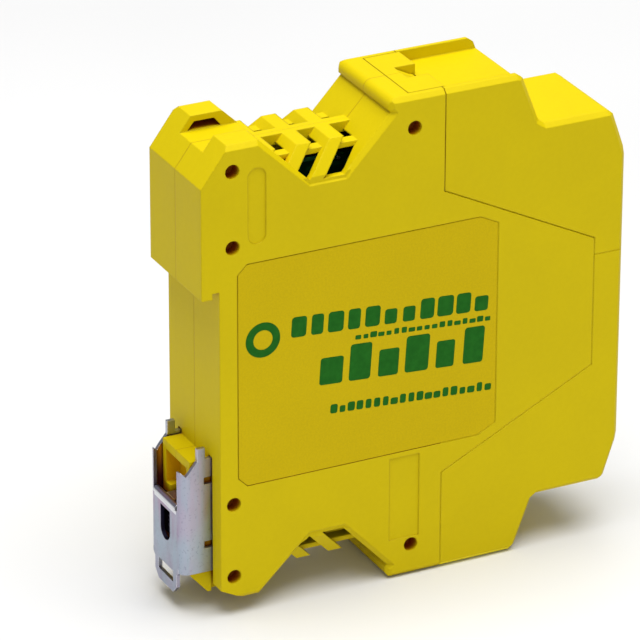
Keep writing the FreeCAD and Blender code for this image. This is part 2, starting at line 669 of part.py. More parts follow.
def build_shell(name, sign):
    """One rear half; sign is -1 for the labelled left side and +1 for the right side."""
    def side(text):
        return "%d * (%s)" % (sign, text)

    outward = sign > 0
    body = new_body(name)
    block = pad(body, polygon(body, SIDE, shell_outline()), HALF, forward=outward)
    half_width = number(HALF)
    front_limit, back_limit = -number("seam_depth") + CLOSE, -number("heel_chamfer_depth")

    def on_side_rim(edge):
        box_ = edge.BoundBox
        far_out = min(abs(box_.XMin), abs(box_.XMax)) > half_width - CLOSE
        low_front = box_.YMin > front_limit or box_.ZMin > number("crown_half_height") - CLOSE \
            or box_.ZMax < -number("crown_half_height") + CLOSE
        return far_out and low_front and box_.YMax < back_limit + CLOSE

    block = chamfer(body, block, "edge_bevel", on_side_rim)

    def on_bar(edge):
        middle = edge.CenterOfMass
        return lies_along(edge, Vector(1, 0, 0)) and abs(middle.y + number("bar_depth")) < CLOSE \
            and abs(abs(middle.z) - number("crown_half_height")) < CLOSE

    block = fillet(body, block, "bar_round", on_bar)
    pocket(body, polygon(body, SIDE, shell_cavity()), INNER, forward=outward)
    for up in (1, -1):
        add_grille(body, sign, up)
        lap = rectangle(body, FRONT, "0", side("lap_half_width + joint_gap"),
                        "%d * (crown_half_height - lap_thickness)" % up,
                        "%d * (crown_half_height + skin)" % up, "cover_lap_depth")
        pocket(body, lap, "seam_depth - cover_lap_depth + skin")
        ramp = polygon(body, SIDE, [
            ("catch_back_depth + joint_gap * 2", "%d * (crown_half_height - lap_thickness - skin)" % up),
            ("catch_back_depth + joint_gap * 2", "%d * (crown_half_height - joint_gap * 2)" % up),
            ("seam_depth - joint_gap * 2", "%d * (crown_half_height - lap_thickness)" % up),
            ("seam_depth - joint_gap * 2", "%d * (crown_half_height - lap_thickness - skin)" % up),
        ])
        pad(body, ramp, "catch_half_width - joint_gap * 2", forward=outward)
    add_post(body, sign)
    notch = polygon(body, FRONT, [
        ("0", "notch_floor"), (side("notch_half_width"), "notch_floor"),
        (side("notch_half_width"), "heel_half_height + skin"), ("0", "heel_half_height + skin"),
    ], "-back_overhang")
    pocket(body, notch, "back_overhang + grille_back_depth + skin")
    window = polygon(body, SIDE, [
        ("window_back_depth", "notch_floor + joint_gap"),
        ("window_front_depth", "notch_floor + joint_gap"),
        ("window_front_depth - window_slant", "notch_floor + joint_gap + window_height"),
        ("window_back_depth + window_slant", "notch_floor + joint_gap + window_height"),
    ], side("notch_half_width - skin"))
    pocket(body, window, "window_sunk + skin", forward=outward)
    holes = [("hole_back_depth", "hole_outer_height"), ("hole_back_depth", "hole_inner_height"),
             ("hole_front_depth", "hole_front_height")]
    holes += [(d, "-" + z) for d, z in holes]
    for d, z in holes:
        boss = rectangle(body, SIDE, d + " - boss_half", d + " + boss_half",
                         z + " - boss_half", z + " + boss_half", side("%s - boss_length" % INNER))
        pad(body, boss, "boss_length + wall / 2", forward=outward)
    bores = circles(body, SIDE, holes, "pin_hole / 2", side(HALF))
    pocket(body, bores, "pin_hole_depth", forward=not outward)
    return body


def label_outline(inset):
    """Clipped panel on the left side face; inset moves every edge inward."""
    return [
        ("label_back + %s" % inset, "label_top - label_corner"),
        ("label_back + label_corner", "label_top - %s" % inset),
        ("label_front - label_cut", "label_top - %s" % inset),
        ("label_front - %s" % inset, "label_top - label_cut / 2"),
        ("label_front - %s" % inset, "-label_bottom + label_cut / 2"),
        ("label_front - label_cut", "-label_bottom + %s" % inset),
        ("label_back + label_corner", "-label_bottom + %s" % inset),
        ("label_back + %s" % inset, "-label_bottom + label_corner"),
    ]


left = build_shell("shell_left", -1)
pocket(left, polygon(left, SIDE, label_outline("0"), "-" + HALF), "label_sunk", forward=True)
eye_panel = upright_eye(left, SIDE, "eye_panel_depth", "eye_panel_foot", "eye_panel_top", "eye_panel_half",
                        "-" + HALF)
plain_panel = rectangle(left, SIDE, "plain_panel_back", "plain_panel_front",
                        "-plain_panel_foot", "-plain_panel_top", "-" + HALF)
for panel in (eye_panel, plain_panel):
    pocket(left, panel, "mark_depth", forward=True)

right = build_shell("shell_right", 1)
stud_places = [(d, z) for d in ("stud_back_depth", "stud_front_depth")
               for z in ("stud_height", "-stud_height")]
board_rear = "board_face + board_thickness"
pad(right, circles(right, SIDE, stud_places, "stud_radius", board_rear),
    HALF + " - edge_bevel - (%s)" % board_rear)
pad(right, circles(right, SIDE, stud_places, "stud_pin", "board_face - edge_bevel"),
    "board_thickness + edge_bevel + joint_gap")

label = new_body("side_label")
pad(label, polygon(label, SIDE, label_outline("joint_gap"), "-(%s) + label_sunk" % HALF), "label_thickness",
    forward=False)


# ---------------------------------------------------------------- front covers
def build_cover(name, up, split):
    """Hollow front moulding above (up = 1) or below (up = -1) the split line."""
    def high(text):
        return "%d * (%s)" % (up, text)

    body = new_body(name)
    outline = [
        ("seam_depth + joint_gap", high("crown_half_height")),
        ("riser_top_depth", high("crown_half_height")),
        ("riser_foot_depth", high("step_half_height")),
        ("step_depth", high("step_half_height")),
        ("front_depth", high("front_half_height")),
        ("front_depth", split),
        ("tongue_depth + joint_gap", split),
        ("tongue_depth + joint_gap", high("tongue_half_height + joint_gap")),
        ("seam_depth + joint_gap", high("seam_corner_height + joint_gap")),
    ]
    block = pad(body, polygon(body, SIDE, outline), "module_width", middle=True)
    half_width = number(HALF)
    seam_y = -number("tongue_depth + joint_gap")
    seam_front = -number("seam_depth + 2 * joint_gap")
    split_z = number(split)

    def on_side_rim(edge):
        box_ = edge.BoundBox
        far_out = min(abs(box_.XMin), abs(box_.XMax)) > half_width - CLOSE
        middle = edge.CenterOfMass
        outer = abs(middle.z) > number("front_half_height") - CLOSE and middle.y < seam_front
        front = abs(middle.y + number("front_depth")) < CLOSE
        on_split = abs(middle.z - split_z) < CLOSE and middle.y < seam_y
        return far_out and (outer or front) and not on_split

    chamfer(body, block, "edge_bevel", on_side_rim)
    # the rims' front ends are rounded in short flats
    fall = math.atan2(number("crown_half_height - step_half_height"),
                      number("riser_foot_depth - riser_top_depth"))
    turns = [fall * flat / 4 for flat in range(5)]
    nose = [("riser_top_depth + %.4f * rim_round" % (math.sin(turn) - math.tan(fall / 2)),
             high("crown_half_height - %.4f * rim_round" % (1 - math.cos(turn)))) for turn in turns]
    nose += [("riser_foot_depth", high("crown_half_height + skin")),
             (nose[0][0], high("crown_half_height + skin"))]
    pocket(body, polygon(body, SIDE, nose), "2 * module_width", middle=True)
    cavity = [
        ("seam_depth - skin", high("crown_half_height - 2 * skin")),
        ("riser_top_depth - skin", high("crown_half_height - 2 * skin")),
        ("riser_foot_depth - skin", high("step_half_height - skin")),
        ("step_depth - skin / 2", high("step_half_height - skin")),
        ("front_depth - wall", high("front_half_height")),
        ("front_depth - wall", split + " - %d * skin" % up),
        ("tongue_depth - skin", split + " - %d * skin" % up),
        ("tongue_depth - skin", high("tongue_half_height - skin")),
        ("seam_depth - skin", high("seam_corner_height - skin")),
    ]
    pocket(body, polygon(body, SIDE, cavity), "2 * (%s)" % INNER, middle=True)
    tread = rectangle(body, FRONT, "-tread_half_width", "tread_half_width",
                      high("crown_half_height - tread_drop"), high("crown_half_height + skin"),
                      "seam_depth + joint_gap")
    pocket(body, tread, "riser_foot_depth - seam_depth")
    lap = polygon(body, SIDE, [
        ("cover_lap_depth + joint_gap", high("crown_half_height")),
        ("seam_depth + lap_web", high("crown_half_height")),
        ("seam_depth + lap_web", high("crown_half_height - 2 * skin")),
        ("seam_depth + joint_gap", high("crown_half_height - 2 * skin")),
        ("seam_depth + joint_gap", high("crown_half_height - lap_thickness")),
        ("cover_lap_depth + joint_gap", high("crown_half_height - lap_thickness")),
    ])
    pad(body, lap, "2 * lap_half_width", middle=True)
    catch = rectangle(body, PLAN, "-catch_half_width", "catch_half_width",
                      "catch_back_depth", "catch_front_depth", high("crown_half_height - 2 * lap_thickness"))
    pocket(body, catch, "4 * lap_thickness", forward=up > 0)
    return body


upper_cover = build_cover("front_cover_upper", 1, "split_height")
lower_cover = build_cover("front_cover_lower", -1, "split_height - joint_gap")

jack_front_opening = rectangle(upper_cover, FRONT,
                               "board_face - jack_rise - joint_gap", "board_face + joint_gap",
                               "jack_low - joint_gap", "jack_low + jack_height + joint_gap",
                               "front_depth - skin")
pocket(upper_cover, jack_front_opening, "2 * skin")
optic_opening = rectangle(lower_cover, FRONT,
                          "board_face - optic_rise - joint_gap", "board_face + joint_gap",
                          "optic_low - joint_gap", "optic_low + optic_height + joint_gap",
                          "front_depth - skin")
pocket(lower_cover, optic_opening, "2 * skin")
plug_opening = rectangle(lower_cover, FRONT, "plug_low - joint_gap", "plug_high + joint_gap",
                         "plug_middle - plug_height / 2 - joint_gap",
                         "plug_middle + plug_height / 2 + joint_gap", "front_depth - skin")
pocket(lower_cover, plug_opening, "2 * skin")

# ---------------------------------------------------------------- foot latch
latch = new_body("foot_latch")
inside = "latch_half_width - sheet"
section = [
    ("latch_flange_end", "latch_flange_depth"), ("latch_half_width", "latch_flange_depth"),
    ("latch_half_width", "-latch_back"),
]
section += [("-(%s)" % x, d) for x, d in reversed(section)]
section += [
    ("-latch_flange_end", "latch_flange_depth - sheet"), ("-(%s)" % inside, "latch_flange_depth - sheet"),
    ("-(%s)" % inside, "-(latch_back - sheet)"), (inside, "-(latch_back - sheet)"),
    (inside, "latch_flange_depth - sheet"), ("latch_flange_end", "latch_flange_depth - sheet"),
]
strip = pad(latch, polygon(latch, PLAN, section, "-latch_bottom"), "latch_bottom - latch_hook_top")


def bend_at(distance, across):
    def test(edge):
        middle = edge.CenterOfMass
        return lies_along(edge, Vector(0, 0, 1)) and abs(middle.y - distance) < CLOSE \
            and abs(abs(middle.x) - across) < CLOSE
    return test


strip = fillet(latch, strip, "latch_bend", bend_at(number("latch_back"), number("latch_half_width")))
strip = fillet(latch, strip, "latch_bend - sheet", bend_at(number("latch_back - sheet"), number(inside)))
behind = "latch_back + skin"
above = "-(latch_hook_top - skin)"
cheek_back = polygon(latch, SIDE, [
    ("-(%s)" % behind, "-latch_side_top"), ("-latch_side_depth", "-latch_side_top"),
    ("-latch_throat_depth", "-latch_throat"), ("-latch_hook_back", "-latch_hook_foot"),
    ("-latch_hook_back", above), ("-(%s)" % behind, above),
])
pocket(latch, cheek_back, "4 * latch_half_width", middle=True)
cheek_front = polygon(latch, SIDE, [
    ("-latch_hook_front", above), ("-latch_hook_front", "-latch_shoulder"),
    ("guide_lip / 2", "-latch_shoulder"), ("guide_depth + skin", "-(latch_shoulder + skin)"),
    ("guide_depth + skin", above),
])
pocket(latch, cheek_front, "4 * latch_half_width", middle=True)
mouth = rectangle(latch, FRONT, "-(%s - latch_bend / 2)" % inside, "%s - latch_bend / 2" % inside,
                  "-lip_height", above, "-(latch_back + sheet)")
pocket(latch, mouth, "sheet * 3")
tab = [
    ("tab_half_width + sheet", "-(latch_bottom - sheet)"), ("tab_half_width + sheet", "-latch_bottom"),
    ("tab_half_width", "-(latch_bottom + sheet)"), ("tab_half_width", "-(tab_bottom - tab_corner)"),
    ("tab_half_width - tab_corner", "-tab_bottom"),
]
tab += [("-(%s)" % x, z) for x, z in reversed(tab)]
pad(latch, polygon(latch, FRONT, tab, "-latch_back"), "sheet")
tab_slot = rectangle(latch, FRONT, "-tab_slot_half", "tab_slot_half", "-tab_slot_bottom", "-tab_slot_top",
                     "-(latch_back + sheet)")
pocket(latch, tab_slot, "sheet * 3")
pocket(latch, upright_eye(latch, FRONT, "0", "-eye_bottom", "-(eye_top + eye_half_width)", "eye_half_width",
                          "-(latch_back + sheet)"), "sheet * 3")
eye_head = rectangle(latch, FRONT, "-eye_half_width", "eye_half_width",
                     "-(eye_top + 2 * eye_half_width)", "-eye_top", "-(latch_back + sheet)")
pocket(latch, eye_head, "sheet * 3")
pad(latch, circles(latch, SIDE, [("-lip_depth", "-(lip_height - lip_radius / 2)")], "lip_radius"),
    "2 * lip_half_width", middle=True)
pad(latch, rectangle(latch, SIDE, "-lip_depth", "-finger_depth", "-lip_height", "-(lip_height - sheet)"),
    "2 * finger_half_width", middle=True)
for height in ("cheek_notch_upper", "cheek_notch_lower"):
    notch_sketch = rectangle(latch, SIDE, "-cheek_notch", "guide_lip",
                             "-(%s + cheek_notch / 2)" % height, "-(%s - cheek_notch / 2)" % height)
    pocket(latch, notch_sketch, "4 * latch_half_width", middle=True)

# ---------------------------------------------------------------- latch spring
spring_foot = number("-chamber_floor + spring_wire / 2 + running_fit / 5")
spring_head = number("-lip_height - spring_wire / 2 - running_fit")
turn_corners, wire_corners = int(number("coil_corners")), int(number("wire_corners"))
steps = int(number("spring_turns") * turn_corners)
coil_points = [Vector(number("spring_radius") * math.cos(2 * math.pi * i / turn_corners),
                      number("spring_radius") * math.sin(2 * math.pi * i / turn_corners),
                      (spring_head - spring_foot) * i / steps) for i in range(steps + 1)]
wire_round = [Vector(coil_points[0].x + number("spring_wire") / 2 * math.cos(2 * math.pi * i / wire_corners),
                     coil_points[0].y,
                     number("spring_wire") / 2 * math.sin(2 * math.pi * i / wire_corners))
              for i in range(wire_corners)]
wire_ring = Part.makePolygon(wire_round + wire_round[:1])
coil = Part.makePolygon(coil_points).makePipeShell([wire_ring], True, True, 1)
spring = doc.addObject("Part::Feature", "latch_spring")
spring.Shape = coil
spring.Placement = Placement(Vector(0, number("spring_depth"), spring_foot), Rotation())
keep_node(spring, "latch_spring")

# ---------------------------------------------------------------- circuit board
board = new_body("circuit_board")
board_points = [
    ("board_back", "board_half_height - board_clip"), ("board_back + board_clip", "board_half_height"),
    ("board_front - board_clip", "board_half_height"), ("board_front", "board_half_height - board_clip"),
]
board_points += [(d, "-(%s)" % z) for d, z in reversed(board_points)]
pad(board, polygon(board, SIDE, board_points, "board_face"), "board_thickness")
pocket(board, circles(board, SIDE, stud_places, "stud_pin + joint_gap", "board_face - skin"), "3 * skin")


def on_board(low, high):
    """Across range of a part that stands on the component side."""
    return "board_face - (%s)" % high, "board_face - (%s)" % low


# ---------------------------------------------------------------- network jack
jack = new_body("network_jack")
jack_back = "jack_front - jack_length"
jack_middle = "(jack_low + jack_height / 2)"
jack_face = rectangle(jack, FRONT, *on_board("0", "jack_rise"),
                      "jack_low", "jack_low + jack_height", jack_back)
pad(jack, jack_face, "jack_length")
port_low = "board_face - jack_rise + port_key_rise"
pocket(jack, rectangle(jack, FRONT, port_low + " + port_key_rise", port_low + " + port_key_rise + port_rise",
                       jack_middle + " - port_height / 2", jack_middle + " + port_height / 2",
                       "jack_front - port_depth"), "port_depth")
pocket(jack, rectangle(jack, FRONT, port_low, port_low + " + 1.5 * port_key_rise",
                       jack_middle + " - port_key / 2", jack_middle + " + port_key / 2",
                       "jack_front - port_depth"), "port_depth")
jack_high = "(jack_low + jack_height)"
lamp_places = [("jack_low + jack_lamp_inset", "jack_low + jack_lamp_inset + jack_lamp_wide"),
               (jack_high + " - jack_lamp_inset - jack_lamp_wide", jack_high + " - jack_lamp_inset")]
lamp_across = (port_low + " - jack_lamp_rise / 2", port_low + " + jack_lamp_rise / 2")
for low, high in lamp_places:
    pocket(jack, rectangle(jack, FRONT, *lamp_across, low, high, "jack_front - jack_lamp_sunk"),
           "jack_lamp_sunk")
group("jack_lamps", [box("jack_lamp_%d" % i, lamp_across,
                         ("jack_front - jack_lamp_sunk", "jack_front - jack_lamp_sunk / 4"), span, keep=False)
                     for i, span in enumerate(lamp_places)])
contacts = []
for i in range(int(number("contact_count"))):
    z = jack_middle + " + (%d - (contact_count - 1) / 2) * contact_pitch" % i
    base = port_low + " + port_key_rise + port_rise"
    contacts.append(box("contact_%d" % (i + 1),
                        (base + " - contact_lift", base + " - contact_lift + contact_wire"),
                        ("jack_front - port_depth", "jack_front - contact_sunk"),
                        (z + " - contact_wire / 2", z + " + contact_wire / 2"), keep=False))
group("jack_contacts", contacts)

# ---------------------------------------------------------------- fibre transceiver
optic = new_body("fibre_transceiver")
optic_back = "optic_front - optic_length"
optic_face = rectangle(optic, FRONT, *on_board("0", "optic_rise"),
                       "optic_low", "optic_low + optic_height", optic_back)
pad(optic, optic_face, "optic_length")
port_middles = ["(optic_low + optic_height / 2 %s optic_pitch / 2)" % s for s in "+-"]
optic_axis = "(board_face - optic_rise / 2)"
for middle in port_middles:
    pocket(optic, rectangle(optic, FRONT,
                            optic_axis + " - optic_port_rise / 2", optic_axis + " + optic_port_rise / 2",
                            middle + " - optic_port_height / 2", middle + " + optic_port_height / 2",
                            "optic_front - optic_port_depth"), "optic_port_depth")
    pocket(optic, rectangle(optic, FRONT, optic_axis + " - optic_port_rise / 2 - key_notch_rise", optic_axis,
                            middle + " - key_notch / 2", middle + " + key_notch / 2",
                            "optic_front - optic_port_depth"), "optic_port_depth")
sleeves = []
for i, middle in enumerate(port_middles):
    where = (optic_axis, "optic_front - optic_port_depth", middle)
    outer = cylinder("sleeve_%d" % i, "depth", "sleeve_radius", "sleeve_length", where, keep=False)
    bore = cylinder("sleeve_bore_%d" % i, "depth", "sleeve_bore", "sleeve_length + skin", where, keep=False)
    sleeves.append(cut("sleeve_cut_%d" % i, outer, [bore], keep=False))
group("optic_sleeves", sleeves)

# ---------------------------------------------------------------- power header, plug, screws and clamps
plug_z = ("plug_middle - plug_height / 2", "plug_middle + plug_height / 2")
header = box("power_header_block", ("plug_low", "board_face"), ("plug_back - header_length", "plug_back"),
             plug_z, keep=False)
pole_heights = ["(plug_middle + (%d - (pole_count - 1) / 2) * pole_pitch)" % i
                for i in range(int(number("pole_count")))]
pins = [box("header_pin_%d" % i, ("wire_middle - pin_half", "wire_middle + pin_half"),
            ("plug_back - skin", "plug_back + pin_length"),
            (z + " - pin_half", z + " + pin_half"), keep=False)
        for i, z in enumerate(pole_heights)]
fuse("power_header", [header] + pins)

plug_block = box("plug_block", ("plug_low", "plug_high"), ("plug_back", "plug_front"), plug_z, keep=False)
plug_tools = []
clamp_span = ("screw_middle + screw_well_radius - clamp_way_lap", "wire_middle + wire_rise / 2")
for i, z in enumerate(pole_heights):
    plug_tools.append(box("wire_hole_%d" % i, ("wire_middle - wire_rise / 2", "wire_middle + wire_rise / 2"),
                          ("plug_front - wire_depth", "plug_front + skin"),
                          (z + " - wire_width / 2", z + " + wire_width / 2"), keep=False))
    plug_tools.append(cylinder("screw_well_%d" % i, "depth", "screw_well_radius", "screw_head_length + skin",
                               ("screw_middle",
                                "plug_front - screw_sunk - screw_head_length - running_fit", z),
                               keep=False))
    plug_tools.append(cylinder("screw_bore_%d" % i, "depth", "screw_shank_radius + running_fit",
                               "screw_length + skin",
                               ("screw_middle", "plug_front - screw_sunk - screw_length - running_fit", z),
                               keep=False))
    plug_tools.append(box("clamp_way_%d" % i, clamp_span,
                          ("clamp_depth - running_fit", "clamp_depth + clamp_length + running_fit"),
                          (z + " - wire_width / 2", z + " + wire_width / 2"), keep=False))
    plug_tools.append(box("pin_way_%d" % i, ("wire_middle - pin_way", "wire_middle + pin_way"),
                          ("plug_back - skin", "plug_back + pin_length + pin_half"),
                          (z + " - pin_way", z + " + pin_way"), keep=False))
cut("power_plug", plug_block, plug_tools)

for i, z in enumerate(pole_heights):
    head_front = "plug_front - screw_sunk"
    head = cylinder("head_%d" % i, "depth", "screw_head_radius", "screw_head_length",
                    ("screw_middle", head_front + " - screw_head_length", z), keep=False)
    shank = cylinder("shank_%d" % i, "depth", "screw_shank_radius",
                     "screw_length - screw_head_length + 2 * running_fit",
                     ("screw_middle", head_front + " - screw_length", z), keep=False)
    blank = fuse("screw_blank_%d" % i, [head, shank], keep=False)
    slot = box("screw_slot_%d" % i,
               ("screw_middle - screw_well_radius", "screw_middle + screw_well_radius"),
               (head_front + " - screw_slot_depth", head_front + " + screw_slot_depth"),
               (z + " - screw_slot / 2", z + " + screw_slot / 2"), keep=False)
    cut("terminal_screw_%d" % (i + 1), blank, [slot])
    box("clamp_block_%d" % (i + 1),
        ("wire_middle - wire_rise / 2 + 2 * running_fit - clamp_rise",
         "wire_middle - wire_rise / 2 + 2 * running_fit"),
        ("clamp_depth", "clamp_depth + clamp_length"),
        (z + " - wire_width / 2 + running_fit", z + " + wire_width / 2 - running_fit"))

# ---------------------------------------------------------------- parts on the board
def board_part(name, low=""):
    """Block on the component side, from its own four sizes in the sheet."""
    return box(name + low, on_board("0", name + "_rise"), (name + "_back", name + "_front"),
               (name + "_low", name + "_high"), keep=not low)


def leads(name, count, side_sign):
    """Row of flat leads along one edge of a chip, bent down to the board."""
    edge = name + ("_front" if side_sign > 0 else "_back")
    row = []
    for i in range(count):
        z = "(%s_low + (%s_high - %s_low) * %g)" % (name, name, name, (i + 0.5) / count)
        near, far = sorted((edge, edge + (" + lead_reach" if side_sign > 0 else " - lead_reach")), key=number)
        row.append(box("%s_lead_%d_%d" % (name, i, side_sign > 0), on_board("0", "lead_rise"), (near, far),
                       (z + " - lead_half", z + " + lead_half"), keep=False))
    return row


for name in ("switch_chip", "flash_chip", "regulator_chip"):
    count = int(number(name + "_leads"))
    fuse(name, [board_part(name, "_package")] + leads(name, count, 1) + leads(name, count, -1))
for name in ("lan_magnetics", "crystal"):
    board_part(name)
core = board_part("power_inductor", "_core")
winding = cylinder("inductor_window", "x", "inductor_window", "power_inductor_rise",
                   ("board_face - power_inductor_rise - coil_show",
                    "(power_inductor_back + power_inductor_front) / 2",
                    "(power_inductor_low + power_inductor_high) / 2"), keep=False)
fuse("power_inductor", [core, winding])
for i, depth in enumerate(("capacitor_back", "capacitor_front")):
    cylinder("filter_capacitor_%d" % (i + 1), "x", "capacitor_radius", "capacitor_rise",
             ("board_face - capacitor_rise", depth, "capacitor_height"))
chips = []
for row in range(int(number("chip_rows"))):
    for column in range(int(number("chip_columns"))):
        d, z = "(chip_back + %d * chip_step)" % column, "(chip_low + %d * chip_rise_step)" % row
        chips.append(box("chip_%d_%d" % (row, column), on_board("0", "chip_rise"), (d, d + " + chip_length"),
                         (z, z + " + chip_width"), keep=False))
group("ceramic_capacitors", chips)

# ---------------------------------------------------------------- status lights
optic_side = "board_face - optic_rise"
lamp_heights = ["(lamp_top - %d * lamp_pitch)" % i for i in range(int(number("lamp_count")))]
lamp_span = ("lamp_top - (lamp_count - 1 / 2) * lamp_pitch", "lamp_top + lamp_pitch / 2")
lamps = [box("led_%d" % i, ("lamp_across - lamp_half", "lamp_across + lamp_half"),
             ("strip_front", "strip_front + lamp_half"), (z + " - lamp_half", z + " + lamp_half"), keep=False)
         for i, z in enumerate(lamp_heights)]
strip = box("led_strip", ("lamp_across - 1.5 * lamp_half", optic_side),
            ("strip_front - 2 * board_thickness", "strip_front"), lamp_span, keep=False)
fuse("led_board", [strip] + lamps)
bar = box("pipe_bar", ("lamp_across - lamp_half", optic_side),
          ("pipe_back", "pipe_back + board_thickness"), lamp_span, keep=False)
pipes = [cylinder("pipe_%d" % i, "depth", "pipe_radius", "front_depth + pipe_proud - pipe_back",
                  ("lamp_across", "pipe_back", z), keep=False) for i, z in enumerate(lamp_heights)]
fuse("light_pipes", [bar] + pipes)
pocket(lower_cover, circles(lower_cover, FRONT, [("lamp_across", z) for z in lamp_heights],
                            "pipe_radius + 2 * running_fit", "front_depth - skin"), "2 * skin")

# ---------------------------------------------------------------- check and write
doc.recompute()
for thing in doc.Objects:
    if "Invalid" in thing.State or "Error" in thing.State:
        raise RuntimeError("%s did not build: %s" % (thing.Label, thing.State))
    if thing.TypeId == "PartDesign::Pocket" and thing.Shape.Volume > thing.BaseFeature.Shape.Volume - 1e-6:
        raise RuntimeError("%s cuts nothing" % thing.Label)
for node in nodes:
    if node.Shape.isNull() or not node.Shape.isValid():
        raise RuntimeError("%s has no valid shape" % node.Label)
os.makedirs("parts", exist_ok=True)
for node in nodes:
    node.Shape.exportStep(os.path.join("parts", node.Label + ".step"))
    print("%-22s %2d solid %8.1f mm3 %5d faces" % (node.Label, len(node.Shape.Solids), node.Shape.Volume,
                                                  len(node.Shape.Faces)))
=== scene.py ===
import json
import math

import bpy
from mathutils import Euler, Matrix, Vector


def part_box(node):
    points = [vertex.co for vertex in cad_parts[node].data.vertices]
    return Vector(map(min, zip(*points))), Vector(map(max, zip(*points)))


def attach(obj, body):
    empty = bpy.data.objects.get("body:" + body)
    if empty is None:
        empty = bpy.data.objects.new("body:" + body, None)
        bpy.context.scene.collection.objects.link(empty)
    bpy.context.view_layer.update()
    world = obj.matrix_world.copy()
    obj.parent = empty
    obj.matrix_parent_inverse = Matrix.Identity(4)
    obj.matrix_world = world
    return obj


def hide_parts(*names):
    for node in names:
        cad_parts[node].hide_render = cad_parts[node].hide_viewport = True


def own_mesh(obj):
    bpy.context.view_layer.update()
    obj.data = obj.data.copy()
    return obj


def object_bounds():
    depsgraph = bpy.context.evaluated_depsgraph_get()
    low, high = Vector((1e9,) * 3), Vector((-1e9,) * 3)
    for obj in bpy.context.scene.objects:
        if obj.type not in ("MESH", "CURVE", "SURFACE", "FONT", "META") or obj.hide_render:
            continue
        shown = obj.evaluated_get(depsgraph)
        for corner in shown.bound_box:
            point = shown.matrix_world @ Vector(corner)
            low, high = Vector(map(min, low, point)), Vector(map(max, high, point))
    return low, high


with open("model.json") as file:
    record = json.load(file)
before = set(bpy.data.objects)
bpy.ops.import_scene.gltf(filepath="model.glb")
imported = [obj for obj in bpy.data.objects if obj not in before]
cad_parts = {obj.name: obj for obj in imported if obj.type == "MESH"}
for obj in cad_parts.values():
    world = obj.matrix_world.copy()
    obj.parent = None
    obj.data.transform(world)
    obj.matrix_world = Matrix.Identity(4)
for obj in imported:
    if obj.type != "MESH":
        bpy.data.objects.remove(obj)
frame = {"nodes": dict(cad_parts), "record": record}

cad_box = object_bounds()
scene = bpy.context.scene
mm = 0.001

# ------------------------------------------------------------------ places read from the solids
module_low = cad_box[0]
label_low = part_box("side_label")[0]
coil_low, coil_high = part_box("latch_spring")
latch_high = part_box("foot_latch")[1]

# ------------------------------------------------------------------ places inside the solids
# Depths are along Y from the rail seat, below zero in the housing, and heights are along Z from
# the rail's middle. Widths are taken off the middle, and so are the heights of what the upper and
# the lower half have alike. Each place lies a hair past the face that it selects.

# joints between the mouldings
hairline = 0.08 * mm  # half the width of the line between the shells
shell_front = -46.9 * mm  # where the shells end and the front covers begin
cover_back = -46.95 * mm  # the covers' side of that joint
rear_joint = -47.4 * mm  # front of the band along that joint
skin_inside = 9.5 * mm  # inner face of the side walls' skin

# the hollow in the housing
wall_inside = 9.48 * mm  # inner face of the side walls
hollow_top = 35.05 * mm
hollow_front, hollow_back = -83.8 * mm, -6.0 * mm
crown_top, crown_back = 40.0 * mm, -34.0 * mm

# the vents in the valleys
vent_foot, vent_top = 36.9 * mm, 43.4 * mm
vent_front, vent_back = -32.3 * mm, -10.4 * mm
hood_half_width, hood_top = 9.4 * mm, 41.72 * mm
hood_front, hood_back = -34.3 * mm, -10.45 * mm
hip_foot, hip_lean = 37.7 * mm, 0.589  # the hood narrows by the lean above the foot
middle_rib = 1.45 * mm  # half its width
side_rib_inner, side_rib_outer, side_rib_foot = 4.95 * mm, 7.45 * mm, 40.78 * mm

# the latch's post, with its pocket and its spring chamber
pocket_half_width = 4.65 * mm
pocket_foot, pocket_top = -27.35 * mm, -20.35 * mm
pocket_floor, pocket_mouth = 0.9 * mm, 3.95 * mm
chamber_half_width = 5.6 * mm
chamber_foot, chamber_top = -38.1 * mm, -29.4 * mm
chamber_front, chamber_back = -0.2 * mm, 4.05 * mm

# the latch
lip_height = latch_high.z - 13.3 * mm  # middle of the rolled lip
lip_half_height, lip_half_width = 0.8 * mm, 4.9 * mm
lip_reach = 1.6 * mm  # how far it comes forward from the latch's back
eye_middle, eye_radius = -35.0 * mm, 2.15 * mm  # of the eye's round foot
eye_top = -30.35 * mm
cheek_inner, cheek_outer = 4.85 * mm, 6.35 * mm  # the cheeks' insides lie between these widths
cheek_back, cheek_top = 5.65 * mm, -20.0 * mm
fold_start, fold_end = -2.1 * mm, -0.3 * mm  # the fold from back to cheek, from its outer side
cheek_shade_top, cheek_shade_foot = -21.0 * mm, -27.0 * mm  # the painted reflection of the post turns to painted shade between these heights

# the coil
wire_radius = 0.35 * mm
coil_turns, coil_steps, wire_sides = 8.0, 30, 10  # steps to a turn, corners of the wire

# the label
label_worn, label_fresh = -57.0 * mm, -50.0 * mm  # its edge pales between these depths
print_lean = -0.066  # slope of the printed rows, down toward the connectors
ink_thickness = 0.02 * mm
bar_gap = 0.14  # between two bars, as a part of their pitch
bar_corner, bar_corner_most = 0.22, 3.0  # corner radius as a part of the height, to this height
low_bar, low_bar_share = 0.74, 0.6  # height of a low bar, and how many of them are low
narrowest_bar, widest_bar = 0.72, 1.04  # as parts of the full width
ring_outer, ring_inner, ring_sides = 3.6 * mm, 2.0 * mm, 48
ring_start, ring_height = 9.0, 6.6  # mm

print_table = (  # mm from the rail seat to the start and the end, middle, height; bars, seed
    (14.6, 57.4, 7.9, 4.2, 11, 3),
    (28.2, 57.6, 3.2, 1.2, 18, 8),
    (20.4, 56.9, -1.6, 7.6, 6, 5),
    (23.0, 58.0, -10.9, 1.9, 19, 11),
)


